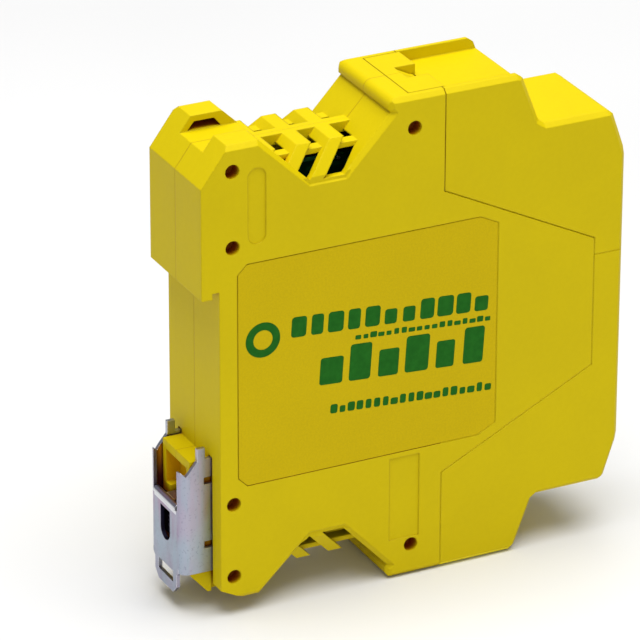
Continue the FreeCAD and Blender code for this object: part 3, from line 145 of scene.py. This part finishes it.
# ------------------------------------------------------------------ trees written as expressions
class Value:
    """One socket of a tree; arithmetic on it adds Math nodes."""

    def __init__(self, maker, socket):
        self.maker, self.socket = maker, socket

    def maths(self, operation, *parts):
        return self.maker.node("ShaderNodeMath", {"operation": operation}, dict(enumerate(parts)))

    def __add__(self, other):
        return self.maths("ADD", self, other)

    def __sub__(self, other):
        return self.maths("SUBTRACT", self, other)

    def __rsub__(self, other):
        return self.maths("SUBTRACT", other, self)

    def __mul__(self, other):
        return self.maths("MULTIPLY", self, other)

    def __truediv__(self, other):
        return self.maths("DIVIDE", self, other)

    def __rtruediv__(self, other):
        return self.maths("DIVIDE", other, self)

    def __gt__(self, other):
        return self.maths("GREATER_THAN", self, other)

    def __lt__(self, other):
        return self.maths("LESS_THAN", self, other)

    def __abs__(self):
        return self.maths("ABSOLUTE", self)

    __radd__ = __add__
    __rmul__ = __mul__

    def within(self, low, high):
        """1 between low and high, 0 outside."""
        return (self > low) * (self < high)

    def wrap(self, high, low=0.0):
        return self.maths("WRAP", self, high, low)

    def bigger(self, other):
        return self.maths("MAXIMUM", self, other)

    def ramp(self, low, high, start=0.0, end=1.0):
        """Smooth step from start at low to end at high."""
        return self.maker.node("ShaderNodeMapRange", {"interpolation_type": "SMOOTHSTEP"},
                               {0: self, 1: low, 2: high, 3: start, 4: end})


class Maker:
    """Adds nodes to a tree."""

    def __init__(self, tree):
        self.tree = tree

    def node(self, kind, settings=None, sockets=None, out=0):
        """A node of this kind, as the Value of its output; sockets go by name or by number."""
        made = self.tree.nodes.new(kind)
        for key, setting in (settings or {}).items():
            setattr(made, key, setting)
        for key, value in (sockets or {}).items():
            self.plug(made.inputs[key], value)
        return Value(self, made.outputs[out])

    def plug(self, socket, value):
        if isinstance(value, Value):
            self.tree.links.new(value.socket, socket)
        elif socket.type == "RGBA" and len(value) == 3:
            socket.default_value = (*value, 1.0)
        else:
            socket.default_value = value


class Finish(Maker):
    """A material: its tree, its surface shader and the patterns that the finishes share."""

    even = (1.0, 1.0, 1.0)  # a pattern that isn't stretched
    bevel_samples, gap_samples = 4, 8
    edge_start, edge_full = 0.005, 0.16  # how far the rounded normal turns at an edge
    gap_start, gap_full = 0.5, 0.14  # how much of the open sky a gap sees

    def __init__(self, name, **constants):
        self.material = bpy.data.materials.new(name)
        self.material.use_nodes = True
        super().__init__(self.material.node_tree)
        self.surface = self.tree.nodes["Principled BSDF"]
        for key, value in constants.items():
            self.plug(self.surface.inputs[key.replace("_", " ")], value)
        self.place = self.node("ShaderNodeTexCoord", out=3)
        self.across, self.depth, self.height = (
            self.node("ShaderNodeSeparateXYZ", sockets={0: self.place}, out=i) for i in range(3))

    def noise(self, scale, detail=2.0, roughness=0.5, stretch=even):
        """Noise with this many cells to a metre, longer along an axis whose stretch is small."""
        where = self.place
        if stretch != self.even:
            where = self.node("ShaderNodeMapping",
                              sockets={"Vector": self.place, "Scale": stretch})
        return self.node("ShaderNodeTexNoise", sockets={
            "Vector": where, "Scale": scale, "Detail": detail, "Roughness": roughness})

    def mix(self, factor, first, second):
        """The first colour at 0 and the second at 1."""
        return self.node("ShaderNodeMix", {"data_type": "RGBA"},
                         {0: factor, 6: first, 7: second}, out=2)

    def edges(self, radius):
        """1 along the piece's edges and 0 elsewhere, with the rounded normal."""
        rounded = self.node("ShaderNodeBevel", {"samples": self.bevel_samples}, {"Radius": radius})
        true = self.node("ShaderNodeNewGeometry", out=1)
        likeness = self.node("ShaderNodeVectorMath", {"operation": "DOT_PRODUCT"},
                             {0: rounded, 1: true}, out=1)
        return (1.0 - likeness).ramp(self.edge_start, self.edge_full), rounded

    def gap_shade(self, reach):
        """1 in slim gaps and in bores, where painted shade goes; 0 on open faces."""
        openness = self.node("ShaderNodeAmbientOcclusion", {"samples": self.gap_samples},
                             {"Distance": reach}, out=1)
        return openness.ramp(self.gap_start, self.gap_full)

    def bump(self, height, distance, strength=1.0, normal=None):
        sockets = {"Height": height, "Distance": distance, "Strength": strength}
        if normal is not None:
            sockets["Normal"] = normal
        self.plug(self.surface.inputs["Normal"], self.node("ShaderNodeBump", sockets=sockets))

    def colour(self, value):
        self.plug(self.surface.inputs["Base Color"], value)

    def roughness(self, value):
        self.plug(self.surface.inputs["Roughness"], value)


# ------------------------------------------------------------------ where a finish changes
def parting_line(finish):
    """1 on the hairline where the two shells meet, but not on the vents' ribs."""
    vent = abs(finish.height).within(vent_foot, vent_top) \
        * finish.depth.within(vent_front, vent_back)
    return (abs(finish.across) < hairline) * (finish.depth > shell_front) * (1.0 - vent)


def cover_joints(finish):
    """1 in the skin of the side walls in front of the shells, where the joints to the covers get
    painted light that lightens their shadow, but not on the upper cover's straight rear joint,
    which keeps its painted shade."""
    rear = (finish.height > 0.0) * (finish.depth > rear_joint)
    return (abs(finish.across) > skin_inside) * (finish.depth < cover_back) * (1.0 - rear)


def inner_walls(finish):
    """1 on the walls of the hollow, under the vents' hoods and in the spring chamber, where a
    painted near-black shade goes; 0 on the vents' own ribs."""
    across, depth, height = abs(finish.across), finish.depth, abs(finish.height)
    hollow = (across < wall_inside) * (height < hollow_top) \
        * depth.within(hollow_front, hollow_back)
    under_crown = (across < wall_inside) * (height < crown_top) \
        * depth.within(shell_front, crown_back)
    hipped = hood_half_width - (height - hip_foot).bigger(0.0) * hip_lean
    hood = (across < hipped) * (height < hood_top) * depth.within(hood_front, hood_back)
    side_rib = across.within(side_rib_inner, side_rib_outer) * (height > side_rib_foot)
    hood = hood * (1.0 - side_rib) * (across > middle_rib)
    chamber = (across < chamber_half_width) * finish.height.within(chamber_foot, chamber_top) \
        * depth.within(chamber_front, chamber_back)
    return hollow.bigger(under_crown).bigger(hood).bigger(chamber)


def post_pocket(finish):
    """1 on the walls of the shallow pocket in the latch's post."""
    return (abs(finish.across) < pocket_half_width) \
        * finish.depth.within(pocket_floor, pocket_mouth) \
        * finish.height.within(pocket_foot, pocket_top)


def eye_walls(finish):
    """1 on the sheared walls of the latch's long eye, round at its foot."""
    below = (eye_middle - finish.height).bigger(0.0)
    inside = finish.across * finish.across + below * below < eye_radius ** 2
    return inside * (finish.height < eye_top)


def cheek_insides(finish):
    """1 on the inner faces of the latch's cheeks, beside the post."""
    return abs(finish.across).within(cheek_inner, cheek_outer) \
        * (finish.depth < cheek_back) * (finish.height < cheek_top)


def rolled_lip(finish):
    """1 on the lip at the foot of the latch's mouth."""
    return (abs(finish.height - lip_height) < lip_half_height) \
        * (finish.depth > latch_high.y - lip_reach) * (abs(finish.across) < lip_half_width)


# ------------------------------------------------------------------ finishes
def moulded_plastic(name, deep, bright, gloss, shade_and_seam_brown=None, inside_shade=None):
    """Injection-moulded plastic: satin spark-eroded grain, slow shade changes and edges paled
    partly by wear and partly by a painted highlight. The housing's also has painted shade in its
    gaps and bores, painted light on the joints to the covers, a parting line, painted shade in the
    post's pocket and a painted near-black shade inside."""
    joint_light_yellow, pocket_shade_orange = (1.0, 0.86, 0.02), (0.66, 0.34, 0.0)
    gap_reach, floor_margin = 5.0 * mm, 0.9 * mm
    finish = Finish(name, IOR=1.5, Specular_IOR_Level=0.1)
    shade = finish.noise(38.0, detail=3.0, roughness=0.6).ramp(0.3, 0.7)
    specks = finish.noise(900.0, detail=2.0, roughness=0.6).ramp(0.38, 0.62)
    edge_band, rounded = finish.edges(0.35 * mm)
    body = finish.mix(shade * 0.75 + specks * 0.25, deep, bright)
    # edges paled partly by wear and partly by a painted highlight where the bevels catch the light
    edge_highlight_pale = tuple(min(1.0, part * 1.06 + 0.01) for part in bright)
    body = finish.mix(edge_band * 0.3, body, edge_highlight_pale)
    if shade_and_seam_brown:
        clear_of_floor = finish.height > module_low.z + floor_margin
        gap_shade, lit_joints = finish.gap_shade(gap_reach), cover_joints(finish)
        # painted shade in gaps and bores, kept off the floor's edge and the lit cover joints
        body = finish.mix(gap_shade * clear_of_floor * (1.0 - lit_joints), body, shade_and_seam_brown)
        # painted light in the gaps of the cover joints, lightening their shadow
        body = finish.mix(gap_shade * lit_joints, body, joint_light_yellow)
    if inside_shade:
        body = finish.mix(parting_line(finish) * 0.4, body, shade_and_seam_brown)
        # painted orange-brown shade on the walls of the post's pocket
        body = finish.mix(post_pocket(finish) * 0.85, body, pocket_shade_orange)
        # painted near-black shade on the walls of the hollow, under the hoods and in the spring
        # chamber
        body = finish.mix(inner_walls(finish), body, inside_shade)
    finish.colour(body)
    scuffs = finish.noise(260.0, detail=4.0, roughness=0.7, stretch=(1.0, 0.25, 1.0))
    finish.roughness(gloss + shade * 0.06 - edge_band * 0.08 + scuffs.ramp(0.62, 0.78) * 0.1)
    grain = finish.noise(5200.0, detail=2.0, roughness=0.6)
    finish.bump(grain, 0.012 * mm, strength=0.6, normal=rounded)
    return finish.material


def printed_film(name):
    """The side label: an orange-yellow film with an even fine grain and a browner cut edge."""
    deep, bright, cut = (0.55, 0.402, 0.0), (0.63, 0.466, 0.0), (0.36, 0.24, 0.0)
    finish = Finish(name, IOR=1.49, Specular_IOR_Level=0.1)
    grain = finish.noise(2600.0, detail=2.0, roughness=0.7)
    fine = grain.ramp(0.3, 0.7)
    broad = finish.noise(45.0, detail=2.0, roughness=0.5).ramp(0.3, 0.7)
    edge_band, rounded = finish.edges(0.2 * mm)
    film = finish.mix(fine * 0.6 + broad * 0.25, deep, bright)
    worn = edge_band * finish.depth.ramp(label_worn, label_fresh, 0.1, 0.5)
    finish.colour(finish.mix(worn, film, cut))
    finish.roughness(0.55 + fine * 0.1)
    finish.bump(grain, 0.02 * mm, strength=0.5, normal=rounded)
    return finish.material


def print_ink(name):
    """Screen-printed green ink with a slightly uneven lay."""
    deep, bright = (0.006, 0.105, 0.004), (0.012, 0.135, 0.008)
    finish = Finish(name, IOR=1.5, Specular_IOR_Level=0.1)
    lay = finish.noise(700.0, detail=3.0, roughness=0.6).ramp(0.3, 0.75)
    finish.colour(finish.mix(lay, deep, bright))
    finish.roughness(0.45 + lay * 0.12)
    finish.bump(finish.noise(3200.0, detail=1.0), 0.008 * mm, strength=0.5)
    return finish.material


def zinc_plate(name):
    """Zinc-plated sheet: rolling grain, faint blue and pink passivation clouds, streaks and pits,
    sheared edges made bright partly by a painted highlight, a painted highlight on the rolled lip,
    a painted reflection of the post and painted shade on the cheeks' insides, and painted shade in
    the eye."""
    deep, bright, pink = (0.26, 0.27, 0.35), (0.40, 0.44, 0.53), (0.38, 0.26, 0.38)
    cheek_tone, blue_streak, pit_tone = (0.50, 0.54, 0.62), (0.32, 0.43, 0.50), (0.19, 0.20, 0.28)
    lip_highlight_tone, edge_highlight_tone = (0.68, 0.69, 0.72), (0.93, 0.93, 0.95)
    post_reflection_brown, cheek_shadow_dark = (0.64, 0.33, 0.06), (0.20, 0.05, 0.08)
    eye_shade_dark = (0.05, 0.045, 0.08)
    finish = Finish(name, Metallic=1.0)
    clouds = finish.noise(170.0, detail=3.0, roughness=0.6).ramp(0.3, 0.7)
    tint = finish.noise(75.0, detail=2.0, roughness=0.5).ramp(0.35, 0.68)
    fold = (abs(finish.across) - latch_high.x).ramp(fold_start, fold_end)
    streaks = finish.noise(520.0, detail=2.0, roughness=0.6, stretch=(1.0, 1.0, 0.14))
    pits = finish.noise(2300.0, detail=1.0, roughness=0.5).ramp(0.61, 0.71)
    edge_band, rounded = finish.edges(0.18 * mm)
    plate = finish.mix(clouds, deep, bright)
    plate = finish.mix(tint * 0.85, plate, pink)
    plate = finish.mix(fold * 0.45, plate, cheek_tone)
    plate = finish.mix(streaks.ramp(0.38, 0.62) * 0.45, plate, blue_streak)
    plate = finish.mix(pits * 0.35, plate, pit_tone)
    # painted highlight on the rolled lip, where its round reflects the sky and the top lamp
    plate = finish.mix(rolled_lip(finish), plate, lip_highlight_tone)
    # painted reflection of the yellow post on the cheeks' insides, turning to painted shadow lower
    # down
    cheek_reflection_and_shade = finish.mix(finish.height.ramp(cheek_shade_top, cheek_shade_foot), post_reflection_brown, cheek_shadow_dark)
    plate = finish.mix(cheek_insides(finish), plate, cheek_reflection_and_shade)
    # edges paled partly as bright sheared steel and partly as a painted highlight
    plate = finish.mix(edge_band * 0.8, plate, edge_highlight_tone)
    # painted near-black shade on the walls of the eye, in front of the dark spring chamber
    finish.colour(finish.mix(eye_walls(finish), plate, eye_shade_dark))
    finish.roughness(0.3 + clouds * 0.14 - edge_band * 0.1)
    rolled = finish.noise(900.0, detail=3.0, roughness=0.6, stretch=(1.0, 1.0, 0.05))
    finish.bump(rolled, 0.02 * mm, strength=0.35, normal=rounded)
    return finish.material


def drawn_metal(name, deep, bright, gloss):
    """Plated or drawn metal with a fine upright grain and dull patches."""
    finish = Finish(name, Metallic=1.0)
    grained = finish.noise(1300.0, detail=3.0, roughness=0.6, stretch=(1.0, 1.0, 0.08))
    dull = finish.noise(300.0, detail=3.0, roughness=0.6).ramp(0.35, 0.7)
    edge_band, rounded = finish.edges(0.12 * mm)
    finish.colour(finish.mix(dull * 0.7 + edge_band * 0.3, deep, bright))
    finish.roughness(gloss + dull * 0.16)
    finish.bump(grained, 0.01 * mm, strength=0.35, normal=rounded)
    return finish.material


def solder_mask(name):
    """Green board: tracks show as lighter lines under the mask, with tinned round pads."""
    bare, over_track, tin = (0.003, 0.045, 0.014), (0.008, 0.105, 0.030), (0.72, 0.72, 0.70)
    track_width, pad_radius = 0.16, 0.13  # parts of a lane's pitch and of a pad's cell
    finish = Finish(name, IOR=1.52)

    def lanes(along, to_a_metre, bends):
        """How far from the middle of the nearest lane, in lanes; the lanes step aside in
        places."""
        aside = finish.noise(bends, detail=0.0).ramp(0.45, 0.55)
        return abs((along * to_a_metre + aside).wrap(1.0) - 0.5)

    upright = finish.noise(90.0, detail=0.0) > 0.5
    track = (lanes(finish.height, 430.0, 60.0) < track_width) * upright \
        + (lanes(finish.depth, 380.0, 75.0) < track_width) * (1.0 - upright)
    dots = finish.node("ShaderNodeTexVoronoi", {"distance": "EUCLIDEAN"},
                       {"Vector": finish.place, "Scale": 260.0})
    pad = dots < pad_radius
    weave = finish.noise(1500.0, detail=1.0)
    mask = finish.mix(track * 0.75, bare, over_track)
    finish.colour(finish.mix(pad, mask, tin))
    finish.plug(finish.surface.inputs["Metallic"], pad * 0.9)
    finish.roughness(0.3 + weave * 0.1)
    finish.bump(track * 0.6 + pad, 0.04 * mm, strength=0.6)
    return finish.material


def moulded_chip(name, deep, bright):
    """Moulded package: matt, finely pitted, a shade paler at its edges."""
    finish = Finish(name, IOR=1.5)
    pits = finish.noise(2400.0, detail=3.0, roughness=0.7)
    shade = finish.noise(160.0, detail=2.0).ramp(0.3, 0.7)
    edge_band, rounded = finish.edges(0.2 * mm)
    finish.colour(finish.mix(shade * 0.6 + edge_band * 0.4, deep, bright))
    finish.roughness(0.48 + pits * 0.16)
    finish.bump(pits, 0.02 * mm, strength=0.6, normal=rounded)
    return finish.material


def glazed_ceramic(name):
    """White sleeves: a thin glaze over a faintly cloudy body."""
    deep, bright = (0.78, 0.76, 0.70), (0.88, 0.87, 0.83)
    finish = Finish(name, IOR=1.7, Coat_Weight=0.3)
    shade = finish.noise(300.0, detail=2.0).ramp(0.3, 0.7)
    rounded = finish.edges(0.15 * mm)[1]
    finish.colour(finish.mix(shade, deep, bright))
    finish.roughness(0.18 + shade * 0.08)
    finish.bump(finish.noise(1800.0, detail=1.0), 0.004 * mm, strength=0.5, normal=rounded)
    return finish.material


def clear_polycarbonate(name, deep, bright):
    """Light pipe: clear, slightly cloudy, with fine turning marks on its ends."""
    finish = Finish(name, IOR=1.585, Transmission_Weight=0.75)
    cloud = finish.noise(420.0, detail=3.0).ramp(0.3, 0.75)
    edge_band, rounded = finish.edges(0.2 * mm)
    finish.colour(finish.mix(cloud * 0.6 + edge_band * 0.4, deep, bright))
    finish.roughness(0.12 + cloud * 0.16)
    finish.bump(finish.noise(2000.0, detail=2.0), 0.006 * mm, strength=0.5, normal=rounded)
    return finish.material


# by the record's material slots; a finish's two colours are its deep and its bright shade
finishes = {
    "housing": moulded_plastic(
        "housing_yellow", (0.602, 0.466, 0.0), (0.638, 0.498, 0.0), gloss=0.5,
        shade_and_seam_brown=(0.30, 0.055, 0.0), inside_shade=(0.010, 0.009, 0.012)),
    "label": printed_film("label_film"),
    "latch_steel": zinc_plate("latch_zinc"),
    "spring_steel": drawn_metal(
        "spring_wire", (0.16, 0.15, 0.24), (0.34, 0.34, 0.46), gloss=0.3),
    "lamp": clear_polycarbonate("lamp_milky", (0.45, 0.62, 0.30), (0.70, 0.84, 0.52)),
    "board": solder_mask("board_mask"),
    "jack_shell": drawn_metal(
        "jack_tin", (0.50, 0.50, 0.49), (0.74, 0.74, 0.72), gloss=0.24),
    "contact_gold": drawn_metal(
        "contact_gold", (0.70, 0.45, 0.14), (0.92, 0.68, 0.30), gloss=0.2),
    "transceiver": moulded_plastic(
        "transceiver_black", (0.010, 0.010, 0.011), (0.026, 0.026, 0.028), gloss=0.4),
    "ceramic": glazed_ceramic("sleeve_ceramic"),
    "terminal_green": moulded_plastic(
        "terminal_green", (0.012, 0.19, 0.045), (0.03, 0.29, 0.075), gloss=0.4),
    "screw_steel": drawn_metal(
        "screw_zinc", (0.45, 0.46, 0.48), (0.78, 0.78, 0.80), gloss=0.26),
    "chip_black": moulded_chip("chip_epoxy", (0.008, 0.008, 0.009), (0.03, 0.03, 0.033)),
    "ferrite": moulded_chip("ferrite_grey", (0.03, 0.03, 0.033), (0.10, 0.10, 0.105)),
    "can_metal": drawn_metal(
        "capacitor_can", (0.60, 0.60, 0.62), (0.84, 0.84, 0.86), gloss=0.22),
    "ceramic_tan": moulded_chip("capacitor_tan", (0.30, 0.19, 0.10), (0.48, 0.34, 0.20)),
    "clear_pipe": clear_polycarbonate("pipe_clear", (0.80, 0.85, 0.84), (0.94, 0.96, 0.95)),
}
for part in frame["record"]["subparts"]:
    node = frame["nodes"][part["node"]]
    node.data.materials.clear()
    node.data.materials.append(finishes[part["material_slot"]])


# ------------------------------------------------------------------ pieces
class Growth(Maker):
    """A Geometry Nodes tree with named inputs, run once on an empty mesh and kept as a plain
    mesh."""

    def __init__(self, name, **sizes):
        super().__init__(bpy.data.node_groups.new(name, "GeometryNodeTree"))
        self.name, self.sizes = name, sizes
        interface = self.tree.interface
        interface.new_socket("Geometry", in_out="OUTPUT", socket_type="NodeSocketGeometry")
        self.sockets = {}
        for key, value in sizes.items():
            kind = "NodeSocketInt" if isinstance(value, int) else "NodeSocketFloat"
            self.sockets[key] = interface.new_socket(
                key, in_out="INPUT", socket_type=kind).identifier
        start = self.tree.nodes.new("NodeGroupInput")
        self.inputs = {key: Value(self, start.outputs[key]) for key in sizes}

    def point(self, x, y, z):
        return self.node("ShaderNodeCombineXYZ", sockets={0: x, 1: y, 2: z})

    def circle(self, radius, corners):
        return self.node("GeometryNodeCurvePrimitiveCircle", {"mode": "RADIUS"}, {
            "Resolution": self.inputs[corners], "Radius": self.inputs[radius]})

    def inked(self, outline):
        """The outline filled and as thick as the ink."""
        face = self.node("GeometryNodeFillCurve", {"mode": "NGONS"}, {0: outline})
        return self.node("GeometryNodeExtrudeMesh", {"mode": "FACES"},
                         {"Mesh": face, "Offset Scale": ink_thickness})

    def chance(self, low, high, seed):
        """A number between low and high for each point, drawn with this seed."""
        return self.node("FunctionNodeRandomValue", {"data_type": "FLOAT"},
                         {2: low, 3: high, "Seed": seed}, out=1)

    def grown(self, shape, finish, body, place):
        """Ends the tree on shape, evaluates it, puts it in its place and rides it on body."""
        solid = self.node("GeometryNodeRealizeInstances", sockets={0: shape})
        solid = self.node("GeometryNodeSetMaterial",
                          sockets={"Geometry": solid, "Material": finish})
        end = self.tree.nodes.new("NodeGroupOutput")
        self.tree.links.new(solid.socket, end.inputs[0])
        seed_name = self.name + "_seed"
        holder = bpy.data.objects.new(seed_name, bpy.data.meshes.new(seed_name))
        scene.collection.objects.link(holder)
        growth = holder.modifiers.new("growth", "NODES")
        growth.node_group = self.tree
        for key, value in self.sizes.items():
            growth[self.sockets[key]] = value
        ready = holder.evaluated_get(bpy.context.evaluated_depsgraph_get())
        mesh = bpy.data.meshes.new_from_object(ready)
        bpy.data.objects.remove(holder)
        mesh.transform(place)
        piece = bpy.data.objects.new(self.name, mesh)
        scene.collection.objects.link(piece)
        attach(piece, body)
        return piece


def on_label(start, height):
    """From a row's own x, y, z to the label's face: x toward the connectors, y up, z outward."""
    slope = math.atan(print_lean)
    along = Vector((0, -math.cos(slope), math.sin(slope)))
    upward = Vector((0, math.sin(slope), math.cos(slope)))
    return Matrix((
        (along.x, upward.x, -1, label_low.x), (along.y, upward.y, 0, -start * mm),
        (along.z, upward.z, 0, height * mm), (0, 0, 0, 1)))


def print_row(number, ink, start, end, height, tall, bars, seed):
    """A row of plain rounded bars, some lower and some narrower than their neighbours."""
    row = Growth("print_row_%d" % number, Length=(end - start) * mm, Tall=tall * mm,
                 Short=low_bar, Gap=bar_gap * (end - start) / bars * mm,
                 Round=min(tall, bar_corner_most) * bar_corner * mm, Bars=bars, Seed=seed)
    sizes = row.inputs
    pitch = sizes["Length"] / sizes["Bars"]
    line = row.node("GeometryNodeMeshLine", {"mode": "OFFSET"}, {
        "Count": sizes["Bars"], "Start Location": row.point(pitch * 0.5, 0.0, 0.0),
        "Offset": row.point(pitch, 0.0, 0.0)})
    outline = row.node("GeometryNodeCurvePrimitiveQuadrilateral", {"mode": "RECTANGLE"}, {
        "Width": pitch - sizes["Gap"], "Height": sizes["Tall"]})
    outline = row.node("GeometryNodeFilletCurve", {"mode": "POLY"}, {
        "Curve": outline, "Count": 4, "Radius": sizes["Round"]})
    low = row.chance(0.0, 1.0, sizes["Seed"]) < low_bar_share
    width = row.chance(narrowest_bar, widest_bar, sizes["Seed"] + 1)
    tallness = 1.0 - low * (1.0 - sizes["Short"])
    sink = (tallness - 1.0) * sizes["Tall"] * 0.5
    line = row.node("GeometryNodeSetPosition",
                    sockets={0: line, "Offset": row.point(0.0, sink, 0.0)})
    printed = row.node("GeometryNodeInstanceOnPoints", sockets={
        "Points": line, "Instance": row.inked(outline), "Scale": row.point(width, tallness, 1.0)})
    row.grown(printed, ink, "housing", on_label(start, height))


def print_ring(ink):
    """A plain ring at the start of the print."""
    ring = Growth("print_ring", Outer=ring_outer, Inner=ring_inner, Sides=ring_sides)
    outer, inner = ring.circle("Outer", "Sides"), ring.circle("Inner", "Sides")
    both = ring.node("GeometryNodeJoinGeometry", sockets={0: outer})
    ring.tree.links.new(inner.socket, both.socket.node.inputs[0])
    piece = ring.grown(ring.inked(both), ink, "housing", on_label(ring_start, ring_height))


def latch_coil():
    """The coil spring behind the latch: round wire with capped ends."""
    middle = (coil_low + coil_high) * 0.5
    coil = Growth("latch_coil", Radius=(coil_high.x - coil_low.x) * 0.5 - wire_radius,
                  Wire=wire_radius, Height=coil_high.z - coil_low.z - 2 * wire_radius,
                  Turns=coil_turns, Steps=coil_steps, Sides=wire_sides)
    sizes = coil.inputs
    path = coil.node("GeometryNodeCurveSpiral", sockets={
        "Resolution": sizes["Steps"], "Rotations": sizes["Turns"],
        "Start Radius": sizes["Radius"], "End Radius": sizes["Radius"],
        "Height": sizes["Height"]})
    wound = coil.node("GeometryNodeCurveToMesh", sockets={
        "Curve": path, "Profile Curve": coil.circle("Wire", "Sides"), "Fill Caps": True})
    piece = coil.grown(wound, finishes["spring_steel"], "housing",
                       Matrix.Translation((middle.x, middle.y, coil_low.z + wire_radius)))
    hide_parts("latch_spring")
    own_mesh(piece)


label_ink = print_ink("label_ink")
for number, row_sizes in enumerate(print_table, 1):
    print_row(number, label_ink, *row_sizes)
print_ring(label_ink)
latch_coil()


# ------------------------------------------------------------------ floor, light and camera
def pale_floor():
    """A wide plain floor just under the module."""
    reach, gap = 6.0, 0.2 * mm
    finish = Finish("floor_pale")
    mottle = finish.noise(6.0, detail=2.0).ramp(0.2, 0.8)
    finish.colour(finish.mix(mottle, (0.68, 0.68, 0.68), (0.72, 0.72, 0.72)))
    finish.roughness(0.7 + finish.noise(30.0) * 0.1)
    level = module_low.z - gap
    corners = [(-reach, -reach, level), (reach, -reach, level),
               (reach, reach, level), (-reach, reach, level)]
    mesh = bpy.data.meshes.new("floor")
    mesh.from_pydata(corners, [], [(0, 1, 2, 3)])
    mesh.materials.append(finish.material)
    floor = bpy.data.objects.new("floor", mesh)
    scene.collection.objects.link(floor)


def soft_light(name, place, size, power):
    """A square softbox turned toward the middle of the module."""
    module_middle = Vector((0, -0.03, 0))
    data = bpy.data.lights.new(name, "AREA")
    data.shape, data.size, data.energy = "SQUARE", size, power
    lamp = bpy.data.objects.new(name, data)
    scene.collection.objects.link(lamp)
    lamp.location = place
    lamp.rotation_euler = (module_middle - Vector(place)).to_track_quat("-Z", "Y").to_euler()


def studio_light():
    """An even white sky, a large softbox overhead and a small one behind."""
    world = bpy.data.worlds.new("studio")
    world.use_nodes = True
    sky = world.node_tree.nodes["Background"]
    sky.inputs["Color"].default_value = (1.0, 1.0, 1.0, 1.0)
    sky.inputs["Strength"].default_value = 0.3
    scene.world = world
    soft_light("top_softbox", place=(-0.12, -0.06, 1.2), size=1.2, power=24.5)
    soft_light("fill_softbox", place=(-0.90, 0.45, 0.62), size=0.8, power=1.6)
    scene.view_settings.view_transform = "Standard"
    scene.view_settings.look = "None"


def studio_camera():
    """A long lens behind, left of and above the module."""
    place, degrees = Vector((-0.8166, 0.3798, 0.4333)), (64.71, -0.125, -116.393)
    data = bpy.data.cameras.new("camera")
    data.lens, data.sensor_width = 297.8, 36.0
    data.clip_start, data.clip_end = 0.05, 30.0
    camera = bpy.data.objects.new("camera", data)
    scene.collection.objects.link(camera)
    turn = Euler([math.radians(angle) for angle in degrees])
    camera.matrix_world = Matrix.LocRotScale(place, turn, None)
    scene.camera = camera


pale_floor()
studio_light()
studio_camera()
